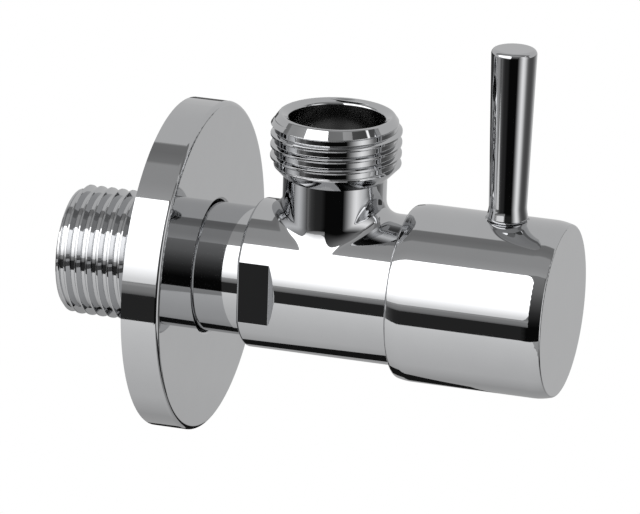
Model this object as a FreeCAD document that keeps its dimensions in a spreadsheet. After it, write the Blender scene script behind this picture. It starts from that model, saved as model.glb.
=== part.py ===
import FreeCAD, Part

import math
import os
import re

import Sketcher

# Angle shut-off valve with a lever handle and a sliding wall rosette.
# Millimetres. X runs out of the wall along the valve, Z runs up along the outlet.
# The origin is on the valve's axis, in the plane of the finished wall.

# Driving dimensions: name, value, meaning
SIZES = (
    ("thread_dia", 20.955, "outside diameter of both pipe threads"),
    ("inlet_length", 17.3, "inlet thread, from the wall plane to its free end"),
    ("thread_chamfer", 0.8, "lead-in at the free end of the inlet thread"),
    ("relief_depth", 1.23, "depth of the run-out groove behind the inlet thread"),
    ("relief_width", 1.9, "width of that groove"),
    ("neck_step", 0.03, "plain neck below the outside of the thread, on the radius"),
    ("shoulder_x", 13.8, "where the barrel starts"),
    ("shoulder_height", 1.65, "barrel above the neck, on the radius"),
    ("flat_depth", 1.1, "depth of the two spanner flats"),
    ("flat_length", 5.4, "spanner flats, forward from the shoulder"),
    ("flat_run_out", 1.2, "slope from the end of a flat up to the barrel"),
    ("edge_round", 0.4, "small rounding on the turned edges"),
    ("shoulder_round", 0.5, "rounding of the barrel's rear edge"),
    ("outlet_ahead", 12.5, "axis of the outlet, ahead of the shoulder"),
    ("barrel_ahead", 14.7, "open front end of the barrel, ahead of the outlet's axis"),
    ("outlet_neck_dia", 16.6, "plain neck below the outlet thread"),
    ("outlet_neck_height", 5.35, "that neck, from the top of the barrel to the run-out cone"),
    ("runout_height", 2.3, "cone from the neck to the outlet thread"),
    ("outlet_thread_length", 6.65, "outlet thread at its full diameter"),
    ("rim_height", 1.75, "cone between the thread and the rim"),
    ("rim_width", 1.17, "rim around the mouth, out to that cone"),
    ("rim_round", 0.5, "rounding between the rim and that cone"),
    ("mouth_bevel", 0.4, "bevel at the edge of the mouth"),
    ("saddle_round", 2.4, "fillet between the outlet neck and the barrel"),
    ("inlet_bore_dia", 15.0, "water way in the inlet"),
    ("seat_behind", 6.8, "seat of the rubber seal, behind the outlet's axis"),
    ("throat_length", 2.0, "straight hole in the wall that carries the seat"),
    ("throat_cone", 2.5, "cone between that hole and the inlet bore"),
    ("throat_dia", 10.0, "that hole"),
    ("chamber_dia", 16.4, "chamber around the headpart"),
    ("bonnet_thread_dia", 18.0, "thread that holds the bonnet"),
    ("bonnet_thread_length", 8.0, "that thread, back from the front end of the barrel"),
    ("outlet_bore_dia", 11.0, "water way from the chamber up"),
    ("mouth_dia", 15.3, "wide mouth of the outlet"),
    ("mouth_depth", 8.15, "depth of that mouth below the rim"),
    ("mouth_cone", 1.6, "cone between the outlet bore and the mouth"),
    ("rosette_dia", 53.4, "wall rosette"),
    ("rosette_depth", 6.2, "from the wall to the rosette's front face"),
    ("rosette_wall", 1.3, "thickness of the rosette"),
    ("rosette_round", 0.7, "rounding of the rosette's front edge"),
    ("rosette_gap", 0.35, "gap between the neck and the rosette's hole, on the radius"),
    ("rosette_corner", 1.0, "inner corners of the rosette"),
    ("hub_back", 0.8, "back end of the rosette's inner hub"),
    ("hub_wall", 1.3, "wall of that hub around the grip ring"),
    ("ring_lip", 1.0, "hub behind the grip ring"),
    ("ring_width", 2.4, "width of the grip ring"),
    ("ring_thickness", 1.38, "thickness of the grip ring, on the radius"),
    ("running_gap", 0.05, "gap of a running or sliding fit, on the radius"),
    ("thread_gap", 0.04, "gap drawn between a screw and its hole, on the radius"),
    ("film", 0.02, "gap drawn between two pieces that touch"),
    ("seal_thickness", 1.8, "rubber seat seal"),
    ("seal_split_dia", 11.2, "where the seal meets its support ring"),
    ("support_bore_dia", 9.8, "water way in the support ring"),
    ("support_inset", 0.3, "support ring, back from the seat"),
    ("disc_thickness", 3.0, "each ceramic disc"),
    ("disc_play", 0.1, "gap around the seal and the fixed disc, on the radius"),
    ("wing_play", 0.45, "gap around the moving disc, on the radius"),
    ("lug_width", 2.3, "width of the two lugs of the fixed disc"),
    ("port_inner_dia", 5.8, "inner arc of the ports in the fixed disc"),
    ("port_outer_dia", 10.8, "outer arc of the ports in the fixed disc"),
    ("port_half_angle", 38.0, "half the angle of a port, in degrees"),
    ("wing_hub_dia", 5.2, "solid middle of the moving disc"),
    ("wing_gap_half_angle", 46.0, "half the angle cut out of the moving disc"),
    ("tang_width", 3.0, "bar that turns the moving disc"),
    ("tang_height", 1.0, "height of that bar"),
    ("tang_end_gap", 0.8, "bar, short of the moving disc's rim at each end"),
    ("tang_play", 0.1, "play of the bar in its slot, each side"),
    ("flange_play", 0.5, "gap around the flange of the spindle, on the radius"),
    ("flange_thickness", 3.0, "flange of the spindle"),
    ("thrust_thickness", 0.7, "washer in front of the flange"),
    ("shaft_dia", 8.0, "spindle shaft"),
    ("o_ring_cord", 1.38, "section of the two spindle seals"),
    ("o_ring_setback", 9.6, "seal nearer the handle, back from the bonnet's outer end"),
    ("o_ring_pitch", 4.6, "from one seal to the other"),
    ("o_ring_groove_width", 2.0, "each seal groove"),
    ("skirt_gap", 0.2, "gap around the bonnet's skirt, on the radius"),
    ("skirt_wall", 0.95, "wall of that skirt around the discs"),
    ("skirt_ahead", 0.7, "water end of the bonnet, ahead of the seat"),
    ("window_ahead", 0.4, "side windows in the bonnet, ahead of the fixed disc"),
    ("window_length", 5.2, "side windows, along the valve"),
    ("window_width", 9.2, "side windows, across"),
    ("washer_thickness", 1.0, "flat washer below the bonnet's hexagon"),
    ("washer_width", 2.2, "width of that washer, on the radius"),
    ("hex_margin", 0.5, "hexagon of the bonnet beyond its thread, at the flats"),
    ("hex_height", 4.5, "hexagon of the bonnet"),
    ("bonnet_neck_length", 4.0, "bonnet beyond its hexagon"),
    ("bonnet_neck_wall", 2.75, "wall of the bonnet around the spindle there"),
    ("clip_gap", 0.1, "play between the bonnet and the circlip"),
    ("clip_thickness", 0.8, "circlip"),
    ("clip_reach", 1.6, "circlip beyond the spindle shaft, on the radius"),
    ("clip_groove_depth", 0.6, "groove of the circlip in the spindle"),
    ("clip_opening", 3.2, "open end of the circlip"),
    ("spline_ahead", 0.6, "start of the spindle's teeth, ahead of the circlip"),
    ("spline_length", 7.6, "teeth of the spindle, up to its outer end"),
    ("spline_step", 0.05, "teeth below the spindle shaft, on the radius"),
    ("spline_depth", 0.45, "depth of the gaps between the teeth"),
    ("spline_teeth", 20, "number of teeth"),
    ("adapter_wall", 2.5, "wall of the plastic adapter on the spindle"),
    ("adapter_web", 0.8, "wall of the adapter under the screw head"),
    ("adapter_rim", 0.6, "rim of the adapter around the screw head"),
    ("adapter_groove", 1.0, "depth of the V groove for the grub screw"),
    ("key_width", 2.0, "key that stops the adapter turning in the handle"),
    ("key_height", 0.8, "height of that key"),
    ("screw_dia", 4.0, "adapter screw, grub screw and lever stud"),
    ("head_dia", 7.2, "head of the adapter screw"),
    ("head_height", 1.5, "head of the adapter screw"),
    ("head_gap", 0.6, "gap around that head in the adapter, on the radius"),
    ("head_socket", 2.5, "hexagon socket in that head, across flats"),
    ("head_socket_depth", 1.1, "depth of that socket"),
    ("screw_length", 7.8, "adapter screw below its head"),
    ("handle_gap", 0.3, "gap between the barrel and the handle, on the radius"),
    ("handle_wall", 1.85, "wall of the cylindrical handle"),
    ("handle_overlap", 2.1, "how far the handle covers the barrel"),
    ("handle_floor", 2.5, "thickness of the handle's front face"),
    ("floor_ahead", 0.3, "inside of that face, ahead of the adapter screw"),
    ("rear_cone", 0.3, "slope of the handle's rear face"),
    ("rear_round", 0.6, "rounding of the handle's rear edge"),
    ("front_round", 0.3, "rounding of the handle's front edge"),
    ("end_bow", 9.0, "bow of the handle's wall towards both ends"),
    ("rear_run", 1.9, "length of the rear fall of that wall, without its bow"),
    ("rear_fall", 0.35, "that fall, on the radius"),
    ("front_run", 1.64, "length of the front fall of that wall, without its bow"),
    ("front_fall", 0.5, "that fall, on the radius"),
    ("handle_hub_wall", 2.45, "wall of the hub inside the handle"),
    ("handle_hub_behind", 0.3, "rear end of that hub, behind the adapter"),
    ("recess_gap", 1.4, "gap around the adapter screw's head in the handle, on the radius"),
    ("rib_count", 6, "ribs between hub and shell"),
    ("rib_thickness", 1.4, "each rib"),
    ("rib_length", 7.0, "each rib, back from the front face's inside"),
    ("rib_root", 0.4, "how far a rib runs into hub and shell"),
    ("boss_dia", 8.0, "boss around the lever's tapped hole"),
    ("lever_setback", 9.78, "axis of the lever, back from the handle's front face"),
    ("lever_seat_depth", 0.3, "depth of the spot face under the lever"),
    ("lever_seat_gap", 0.1, "spot face beyond the lever's foot, on the radius"),
    ("lever_length", 28.15, "lever, from the spot face to its free end"),
    ("lever_base_dia", 6.12, "lever above its foot"),
    ("lever_top_dia", 7.28, "lever at its free end"),
    ("lever_top_round", 0.8, "rounding of the free end"),
    ("foot_height", 1.1, "foot of the lever, which flares out to the handle"),
    ("foot_flare", 0.35, "that flare, on the radius"),
    ("foot_bow", 2.5, "bow between the lever and its foot"),
    ("foot_round", 0.3, "rounding under the foot"),
    ("stud_in_handle", 2.75, "lever stud, down from the lever's foot"),
    ("stud_in_lever", 6.55, "lever stud, up from the lever's foot"),
    ("stud_room", 0.8, "hole beyond the end of a screw or stud"),
    ("grub_gap", 0.3, "gap between the lever stud and the grub screw"),
    ("grub_socket", 2.0, "hexagon socket in the grub screw, across flats"),
    ("grub_socket_depth", 1.8, "depth of that socket"),
)

# Sizes and places that follow from the driving dimensions
DERIVED = {
    # Body along the run
    "thread_r": "thread_dia / 2",
    "neck_r": "thread_r - neck_step",
    "relief_r": "thread_r - relief_depth",
    "barrel_r": "neck_r + shoulder_height",
    "flat_y": "barrel_r - flat_depth",
    "flat_end": "shoulder_x + flat_length",
    "flat_top": "barrel_r + (barrel_r - flat_y)",
    "neck_x": "(relief_width + shoulder_x) / 2",
    "flat_top_x": "flat_end + 2 * flat_run_out",
    "outlet_x": "shoulder_x + outlet_ahead",
    "barrel_end": "outlet_x + barrel_ahead",
    "seat_x": "outlet_x - seat_behind",
    "throat_x": "seat_x - throat_length",
    "chamber_end": "barrel_end - bonnet_thread_length",
    # Outlet
    "outlet_neck_r": "outlet_neck_dia / 2",
    "runout_z": "barrel_r + outlet_neck_height",
    "thread_z": "runout_z + runout_height",
    "thread_top": "thread_z + outlet_thread_length",
    "rim_z": "thread_top + rim_height",
    "rim_r": "mouth_dia / 2 + rim_width",
    "mouth_z": "rim_z - mouth_depth",
    # Rosette and its grip ring
    "rosette_r": "rosette_dia / 2",
    "rosette_inside_r": "rosette_r - rosette_wall",
    "rosette_inside_x": "rosette_depth - rosette_wall",
    "rosette_hole_r": "neck_r + rosette_gap",
    "ring_back": "hub_back + ring_lip",
    "ring_front": "ring_back + ring_width",
    "ring_r": "neck_r + running_gap",
    "ring_outer_r": "ring_r + ring_thickness",
    "ring_groove_r": "ring_outer_r + film",
    "rosette_hub_r": "ring_groove_r + hub_wall",
    # Headpart, from the seat outwards
    "disc_back": "seat_x + seal_thickness",
    "disc_front": "disc_back + disc_thickness",
    "wing_back": "disc_front + film",
    "flange_back": "wing_back + disc_thickness",
    "flange_front": "flange_back + flange_thickness",
    "thrust_front": "flange_front + thrust_thickness",
    "bonnet_step": "thrust_front + running_gap",
    "bonnet_seat": "barrel_end + washer_thickness",
    "hex_front": "bonnet_seat + hex_height",
    "bonnet_top": "hex_front + bonnet_neck_length",
    "clip_back": "bonnet_top + clip_gap",
    "clip_front": "clip_back + clip_thickness",
    "spline_back": "clip_front + spline_ahead",
    "spindle_end": "spline_back + spline_length",
    "web_front": "spindle_end + adapter_web",
    "adapter_end": "web_front + adapter_rim",
    "skirt_back": "seat_x + skirt_ahead",
    "window_back": "disc_front + window_ahead",
    "o_ring_outer_x": "bonnet_top - o_ring_setback",
    "o_ring_inner_x": "o_ring_outer_x - o_ring_pitch",
    # Headpart, across
    "bonnet_thread_r": "bonnet_thread_dia / 2",
    "skirt_r": "chamber_dia / 2 - skirt_gap",
    "skirt_bore_r": "skirt_r - skirt_wall",
    "fixed_disc_r": "skirt_bore_r - disc_play",
    "moving_disc_r": "skirt_bore_r - wing_play",
    "flange_r": "skirt_bore_r - flange_play",
    "thrust_r": "flange_r - running_gap",
    "tang_r": "moving_disc_r - tang_end_gap",
    "shaft_r": "shaft_dia / 2",
    "shaft_hole_r": "shaft_r + running_gap",
    "bonnet_neck_r": "shaft_hole_r + bonnet_neck_wall",
    "o_ring_floor_r": "shaft_hole_r - film - o_ring_cord",
    "clip_floor_r": "shaft_r - clip_groove_depth",
    "spline_r": "shaft_r - spline_step",
    "adapter_bore_r": "spline_r + running_gap",
    "adapter_r": "adapter_bore_r + adapter_wall",
    "groove_r": "adapter_r - adapter_groove",
    "hole_r": "screw_dia / 2",
    "screw_r": "hole_r - thread_gap",
    "head_r": "head_dia / 2",
    # Handle
    "handle_bore_r": "barrel_r + handle_gap",
    "handle_r": "handle_bore_r + handle_wall",
    "handle_back": "barrel_end - handle_overlap",
    "floor_back": "web_front + head_height + floor_ahead",
    "handle_end": "floor_back + handle_floor",
    "handle_hub_bore_r": "adapter_r + running_gap",
    "handle_hub_r": "handle_hub_bore_r + handle_hub_wall",
    "handle_hub_back": "spline_back - handle_hub_behind",
    "key_r": "adapter_r + key_height",
    "boss_foot": "(handle_hub_bore_r + handle_hub_r) / 2",
    "boss_top": "(handle_bore_r + handle_r) / 2",
    # Lever
    "lever_x": "handle_end - lever_setback",
    "lever_foot": "handle_r - lever_seat_depth",
    "lever_top": "lever_foot + lever_length",
    "lever_base_r": "lever_base_dia / 2",
    "lever_top_r": "lever_top_dia / 2",
    "foot_top": "lever_foot + foot_height",
    "foot_r": "lever_base_r + foot_flare",
    "stud_low": "lever_foot - stud_in_handle",
    "stud_high": "lever_foot + stud_in_lever",
    "grub_point": "groove_r + running_gap",
    "grub_top": "stud_low - grub_gap",
}

SHEET = "Sizes"
NAMES = {name for name, value, meaning in SIZES}
TOUCH = 0.01
ROUGH = 10.0
ROUGH_TURN = 0.7


def formula(text):
    """A formula over the named sizes, as the sheet wants it written."""
    def written(word):
        name = word[0]
        if name in DERIVED:
            return f"({formula(DERIVED[name])})"
        return f"{SHEET}.{name}" if name in NAMES else name
    return re.sub(r"[a-z_]+[a-z0-9_]*", written, text)


def worth(sheet, text):
    """The number that a formula over the named sizes gives."""
    return sheet.evalExpression(formula(text))


def make_sheet(doc):
    """The sheet of driving dimensions."""
    sheet = doc.addObject("Spreadsheet::Sheet", SHEET)
    for row, (name, value, meaning) in enumerate(SIZES, 1):
        sheet.set(f"A{row}", meaning)
        sheet.set(f"B{row}", str(value))
        sheet.setAlias(f"B{row}", name)
    doc.recompute()
    return sheet


def outline(sketch, corners):
    """Closed outline of straight edges whose corners are pairs of formulas."""
    count = len(corners)
    first = sketch.GeometryCount
    rough = [
        FreeCAD.Vector(math.cos(math.tau * k / count), math.sin(math.tau * k / count), 0) * ROUGH
        for k in range(count)
    ]
    for k in range(count):
        sketch.addGeometry(Part.LineSegment(rough[k], rough[(k + 1) % count]), False)
    for k in range(count):
        after = first + (k + 1) % count
        sketch.addConstraint(Sketcher.Constraint("Coincident", first + k, 2, after, 1))
    for k, corner in enumerate(corners):
        pin_corner(sketch, first + k, 1, corner)


def pin_corner(sketch, geometry, end, corner):
    """Hold one point at the two coordinates that the formulas give."""
    for kind, axis, text in (("DistanceX", -2, corner[0]), ("DistanceY", -1, corner[1])):
        if text == "0":
            sketch.addConstraint(Sketcher.Constraint("PointOnObject", geometry, end, axis))
        else:
            number = sketch.addConstraint(Sketcher.Constraint(kind, -1, 1, geometry, end, ROUGH))
            sketch.setExpression(f"Constraints[{number}]", formula(text))


def circle(sketch, radius, centre=("0", "0")):
    """Circle of a radius, at a centre, both given by formulas."""
    number = sketch.addGeometry(Part.Circle(FreeCAD.Vector(), FreeCAD.Vector(0, 0, 1), ROUGH), False)
    pin_corner(sketch, number, 3, centre)
    size = sketch.addConstraint(Sketcher.Constraint("Radius", number, ROUGH))
    sketch.setExpression(f"Constraints[{size}]", formula(radius))


def sector(sketch, inner, outer, half_angle):
    """Ring sector about the sketch's upright axis, with an inner and an outer arc."""
    arcs = []
    upright = math.pi / 2
    for radius, rough in ((inner, ROUGH / 2), (outer, ROUGH)):
        base = Part.Circle(FreeCAD.Vector(), FreeCAD.Vector(0, 0, 1), rough)
        bow = Part.ArcOfCircle(base, upright - ROUGH_TURN, upright + ROUGH_TURN)
        arc = sketch.addGeometry(bow, False)
        arcs.append(arc)
        sketch.addConstraint(Sketcher.Constraint("Coincident", arc, 3, -1, 1))
        size = sketch.addConstraint(Sketcher.Constraint("Radius", arc, rough))
        sketch.setExpression(f"Constraints[{size}]", formula(radius))
        for end, sign in ((1, 1), (2, -1)):
            place = Sketcher.Constraint("DistanceX", -1, 1, arc, end, sign * ROUGH)
            number = sketch.addConstraint(place)
            across = f"{sign} * ({radius}) * sin({half_angle})"
            sketch.setExpression(f"Constraints[{number}]", formula(across))
    for end, name in ((1, "StartPoint"), (2, "EndPoint")):
        ends = [getattr(sketch.Geometry[arc], name) for arc in arcs]
        side = sketch.addGeometry(Part.LineSegment(*ends), False)
        sketch.addConstraint(Sketcher.Constraint("Coincident", side, 1, arcs[0], end))
        sketch.addConstraint(Sketcher.Constraint("Coincident", side, 2, arcs[1], end))


def block(first, second):
    """Corners of a rectangle, from its low and high formulas along each sketch axis."""
    return [(first[0], second[0]), (first[1], second[0]), (first[1], second[1]), (first[0], second[1])]


def both(half):
    """Low and high formulas of a width that lies evenly about an axis."""
    return f"-({half})", half


def hexagon(across):
    """Corners of a regular hexagon about the sketch's origin."""
    reach = f"({across}) / sqrt(3)"
    corners = [(f"{reach} * cos({60 * k})", f"{reach} * sin({60 * k})") for k in range(6)]
    corners[0] = (reach, "0")
    corners[3] = (f"-{reach}", "0")
    return corners


class Piece:
    """One separate piece of the valve, built up feature by feature."""

    def __init__(self, doc, name, along="0"):
        self.doc = doc
        self.body = doc.addObject("PartDesign::Body", name)
        self.body.Label = name
        if along != "0":
            self.body.setExpression("Placement.Base.x", formula(along))

    def origin(self, role):
        """An origin plane or axis of this piece."""
        return next(item for item in self.body.Origin.OriginFeatures if item.Role == role)

    def sketch(self, name, role="XZ_Plane", lift="0", shift="0"):
        """Sketch on an origin plane, lifted off it or shifted along its first axis."""
        sketch = self.body.newObject("Sketcher::SketchObject", name + "_outline")
        sketch.AttachmentSupport = [(self.origin(role), "")]
        sketch.MapMode = "FlatFace"
        if lift != "0":
            sketch.setExpression("AttachmentOffset.Base.z", formula(lift))
        if shift != "0":
            sketch.setExpression("AttachmentOffset.Base.x", formula(shift))
        return sketch

    def volume(self):
        """Volume of the piece as it stands."""
        self.doc.recompute()
        return self.body.Shape.Volume

    def spin(self, name, corners, axis="H_Axis", shift="0"):
        """Add a solid of revolution about one of the sketch's axes."""
        sketch = self.sketch(name, shift=shift)
        outline(sketch, corners)
        feature = self.body.newObject("PartDesign::Revolution", name)
        feature.Profile = sketch
        feature.ReferenceAxis = (sketch, [axis])
        feature.Angle = 360
        return feature

    def turn(self, name, corners, axis="H_Axis", shift="0"):
        """Turn a groove or a bore out of the piece."""
        before = self.volume()
        sketch = self.sketch(name, shift=shift)
        outline(sketch, corners)
        feature = self.body.newObject("PartDesign::Groove", name)
        feature.Profile = sketch
        feature.ReferenceAxis = (sketch, [axis])
        feature.Angle = 360
        self.require(name, self.volume() < before - TOUCH)
        return feature

    def pad(self, name, sketch, length, back=False):
        """Raise a sketch into a solid."""
        feature = self.body.newObject("PartDesign::Pad", name)
        feature.Profile = sketch
        feature.Reversed = back
        feature.setExpression("Length", formula(length))
        return feature

    def pocket(self, name, sketch, length="0", forward=True):
        """Cut a sketch into the piece: to a length, or right through both ways."""
        before = self.volume()
        feature = self.body.newObject("PartDesign::Pocket", name)
        feature.Profile = sketch
        feature.Reversed = forward
        if length == "0":
            feature.Type = "ThroughAll"
            feature.SideType = "Symmetric"
        else:
            feature.setExpression("Length", formula(length))
        self.require(name, self.volume() < before - TOUCH)
        return feature

    def around(self, name, feature, count):
        """Repeat a feature around the valve's axis."""
        pattern = self.body.newObject("PartDesign::PolarPattern", name)
        pattern.Originals = [feature]
        pattern.Axis = (self.origin("X_Axis"), [""])
        pattern.Angle = 360
        pattern.setExpression("Occurrences", formula(count))
        self.body.Tip = pattern
        self.doc.recompute()
        return pattern

    def dress(self, kind, name, size, test):
        """Round or bevel the edges whose points all pass a test."""
        self.doc.recompute()
        base = self.body.Tip
        edges = [f"Edge{number}" for number, edge in enumerate(base.Shape.Edges, 1) if follows(edge, test)]
        self.require(name, edges)
        feature = self.body.newObject(f"PartDesign::{kind}", name)
        feature.Base = (base, edges)
        feature.setExpression("Radius" if kind == "Fillet" else "Size", formula(size))
        self.doc.recompute()
        return feature

    def require(self, name, passed):
        """Stop when a feature did not do its work."""
        if not passed:
            raise RuntimeError(f"{self.body.Label}: {name} has no effect")


def follows(edge, test):
    """Whether every sampled point of an edge passes a test."""
    first, last = edge.ParameterRange
    return all(test(edge.valueAt(first + (last - first) * k / 6)) for k in range(7))


def near(number, other):
    """Whether two lengths agree."""
    return abs(number - other) < TOUCH


def off_axis(point):
    """Distance of a point from the valve's axis."""
    return math.hypot(point.y, point.z)


def ring_at(sheet, place, radius):
    """Test for a circular edge around the valve's axis, from two formulas."""
    x = worth(sheet, place)
    reach = worth(sheet, radius)
    return lambda point: near(point.x, x) and near(off_axis(point), reach)


def circle_at(sheet, height, radius, along="outlet_x"):
    """Test for a level circular edge around an upright axis, from three formulas."""
    z = worth(sheet, height)
    reach = worth(sheet, radius)
    x = worth(sheet, along)
    return lambda point: near(point.z, z) and near(math.hypot(point.x - x, point.y), reach)


def make_valve_body(doc, sheet):
    """Turned and drilled brass body: inlet thread, neck, barrel and outlet."""
    piece = Piece(doc, "valve_body")
    piece.spin("run", [
        ("-inlet_length", "0"),
        ("-inlet_length", "thread_r - thread_chamfer"),
        ("thread_chamfer - inlet_length", "thread_r"),
        ("0", "thread_r"),
        ("0", "relief_r"),
        ("relief_width", "relief_r"),
        ("relief_width", "neck_r"),
        ("shoulder_x", "neck_r"),
        ("shoulder_x", "barrel_r"),
        ("barrel_end", "barrel_r"),
        ("barrel_end", "0"),
    ])
    piece.spin("outlet", [
        ("0", "0"),
        ("outlet_neck_r", "0"),
        ("outlet_neck_r", "runout_z"),
        ("thread_r", "thread_z"),
        ("thread_r", "thread_top"),
        ("rim_r", "rim_z"),
        ("0", "rim_z"),
    ], axis="V_Axis", shift="outlet_x")
    barrel, neck, outlet_x = (worth(sheet, name) for name in ("barrel_r", "outlet_neck_r", "outlet_x"))
    piece.dress("Fillet", "saddle", "saddle_round", lambda point: (
        point.z > 0
        and near(off_axis(point), barrel)
        and near(math.hypot(point.x - outlet_x, point.y), neck)
    ))
    piece.turn("run_bore", [
        ("-inlet_length", "0"),
        ("-inlet_length", "inlet_bore_dia / 2"),
        ("throat_x - throat_cone", "inlet_bore_dia / 2"),
        ("throat_x", "throat_dia / 2"),
        ("seat_x", "throat_dia / 2"),
        ("seat_x", "chamber_dia / 2"),
        ("chamber_end", "chamber_dia / 2"),
        ("chamber_end", "bonnet_thread_r"),
        ("barrel_end", "bonnet_thread_r"),
        ("barrel_end", "0"),
    ])
    piece.turn("outlet_bore", [
        ("0", "0"),
        ("outlet_bore_dia / 2", "0"),
        ("outlet_bore_dia / 2", "mouth_z - mouth_cone"),
        ("mouth_dia / 2", "mouth_z"),
        ("mouth_dia / 2", "rim_z"),
        ("0", "rim_z"),
    ], axis="V_Axis", shift="outlet_x")
    flats = piece.sketch("flats", "XY_Plane")
    for side in ("", "-"):
        outline(flats, [
            ("neck_x", f"{side}flat_y"),
            ("flat_end", f"{side}flat_y"),
            ("flat_top_x", f"{side}flat_top"),
            ("neck_x", f"{side}flat_top"),
        ])
    piece.pocket("flats", flats)
    shoulder, flat_y = (worth(sheet, name) for name in ("shoulder_x", "flat_y"))
    piece.dress("Fillet", "shoulder_round", "shoulder_round", lambda point: (
        near(point.x, shoulder) and off_axis(point) > flat_y - TOUCH
    ))
    piece.dress("Chamfer", "barrel_bevel", "edge_round", ring_at(sheet, "barrel_end", "barrel_r"))
    piece.dress("Chamfer", "inlet_bevel", "edge_round", ring_at(sheet, "-inlet_length", "inlet_bore_dia / 2"))
    piece.dress("Fillet", "rim_round", "rim_round", circle_at(sheet, "rim_z", "rim_r"))
    piece.dress("Chamfer", "mouth_bevel", "mouth_bevel", circle_at(sheet, "rim_z", "mouth_dia / 2"))
    return piece


def make_wall_rosette(doc, sheet):
    """Shallow cup against the wall, with a hub that slides on the neck."""
    piece = Piece(doc, "wall_rosette")
    piece.spin("cup", [
        ("0", "rosette_inside_r"),
        ("0", "rosette_r"),
        ("rosette_depth", "rosette_r"),
        ("rosette_depth", "rosette_hole_r"),
        ("hub_back", "rosette_hole_r"),
        ("hub_back", "rosette_hub_r"),
        ("rosette_inside_x", "rosette_hub_r"),
        ("rosette_inside_x", "rosette_inside_r"),
    ])
    piece.turn("ring_groove", block(("ring_back", "ring_front"), ("rosette_hole_r", "ring_groove_r")))
    piece.dress("Fillet", "front_round", "rosette_round", ring_at(sheet, "rosette_depth", "rosette_r"))
    piece.dress("Fillet", "lip_round", "edge_round", ring_at(sheet, "rosette_depth", "rosette_hole_r"))
    for name, radius in (("inner_corner", "rosette_inside_r"), ("hub_corner", "rosette_hub_r")):
        piece.dress("Fillet", name, "rosette_corner", ring_at(sheet, "rosette_inside_x", radius))
    return piece


def make_bonnet(doc, sheet):
    """Brass housing of the headpart: windowed skirt, thread, hexagon and neck."""
    piece = Piece(doc, "bonnet")
    piece.spin("housing", [
        ("skirt_back", "skirt_bore_r"),
        ("skirt_back", "skirt_r"),
        ("chamber_end", "skirt_r"),
        ("chamber_end + thread_chamfer", "bonnet_thread_r - thread_gap"),
        ("hex_front", "bonnet_thread_r - thread_gap"),
        ("hex_front", "bonnet_neck_r"),
        ("bonnet_top", "bonnet_neck_r"),
        ("bonnet_top", "shaft_hole_r"),
        ("bonnet_step", "shaft_hole_r"),
        ("bonnet_step", "skirt_bore_r"),
    ])
    hexagon_sketch = piece.sketch("hexagon", "YZ_Plane", lift="bonnet_seat")
    outline(hexagon_sketch, hexagon("2 * (bonnet_thread_r + hex_margin)"))
    circle(hexagon_sketch, "bonnet_neck_r")
    piece.pad("hexagon", hexagon_sketch, "hex_height")
    windows = piece.sketch("windows", "XY_Plane")
    outline(windows, block(("window_back", "window_back + window_length"), both("window_width / 2")))
    piece.pocket("windows", windows)
    slots = piece.sketch("lug_slots", "XZ_Plane")
    outline(slots, block(("skirt_back", "disc_front"), both("lug_width / 2 + running_gap")))
    piece.pocket("lug_slots", slots)
    piece.dress("Chamfer", "neck_bevel", "edge_round", ring_at(sheet, "bonnet_top", "bonnet_neck_r"))
    return piece


def make_ring(doc, name, back, front, inner, outer):
    """Plain turned ring around the valve's axis."""
    piece = Piece(doc, name, along=back)
    piece.spin("ring", block(("0", f"({front}) - ({back})"), (inner, outer)))
    return piece


def make_fixed_disc(doc):
    """Ceramic disc with two ports, held from turning by two lugs."""
    piece = Piece(doc, "ceramic_disc_fixed", along="disc_back")
    plate = piece.sketch("plate", "YZ_Plane")
    circle(plate, "fixed_disc_r")
    piece.pad("plate", plate, "disc_thickness")
    lugs = piece.sketch("lugs", "YZ_Plane")
    outline(lugs, block(both("skirt_r - disc_play"), both("lug_width / 2")))
    piece.pad("lugs", lugs, "disc_thickness")
    port = piece.sketch("port", "YZ_Plane")
    sector(port, "port_inner_dia / 2", "port_outer_dia / 2", "port_half_angle")
    cut = piece.pocket("port", port, "disc_thickness")
    piece.around("ports", cut, "2")
    return piece


def make_moving_disc(doc):
    """Ceramic disc with two wings that open or cover the ports."""
    piece = Piece(doc, "ceramic_disc_moving", along="wing_back")
    plate = piece.sketch("plate", "YZ_Plane")
    circle(plate, "moving_disc_r")
    piece.pad("plate", plate, "disc_thickness")
    gap = piece.sketch("gap", "YZ_Plane")
    sector(gap, "wing_hub_dia / 2", "2 * moving_disc_r", "wing_gap_half_angle")
    cut = piece.pocket("gap", gap, "disc_thickness")
    piece.around("gaps", cut, "2")
    slot = piece.sketch("slot", "YZ_Plane", lift="disc_thickness")
    outline(slot, block(both("2 * moving_disc_r"), both("tang_width / 2 + tang_play")))
    piece.pocket("slot", slot, "tang_height + tang_play", forward=False)
    return piece


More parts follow.
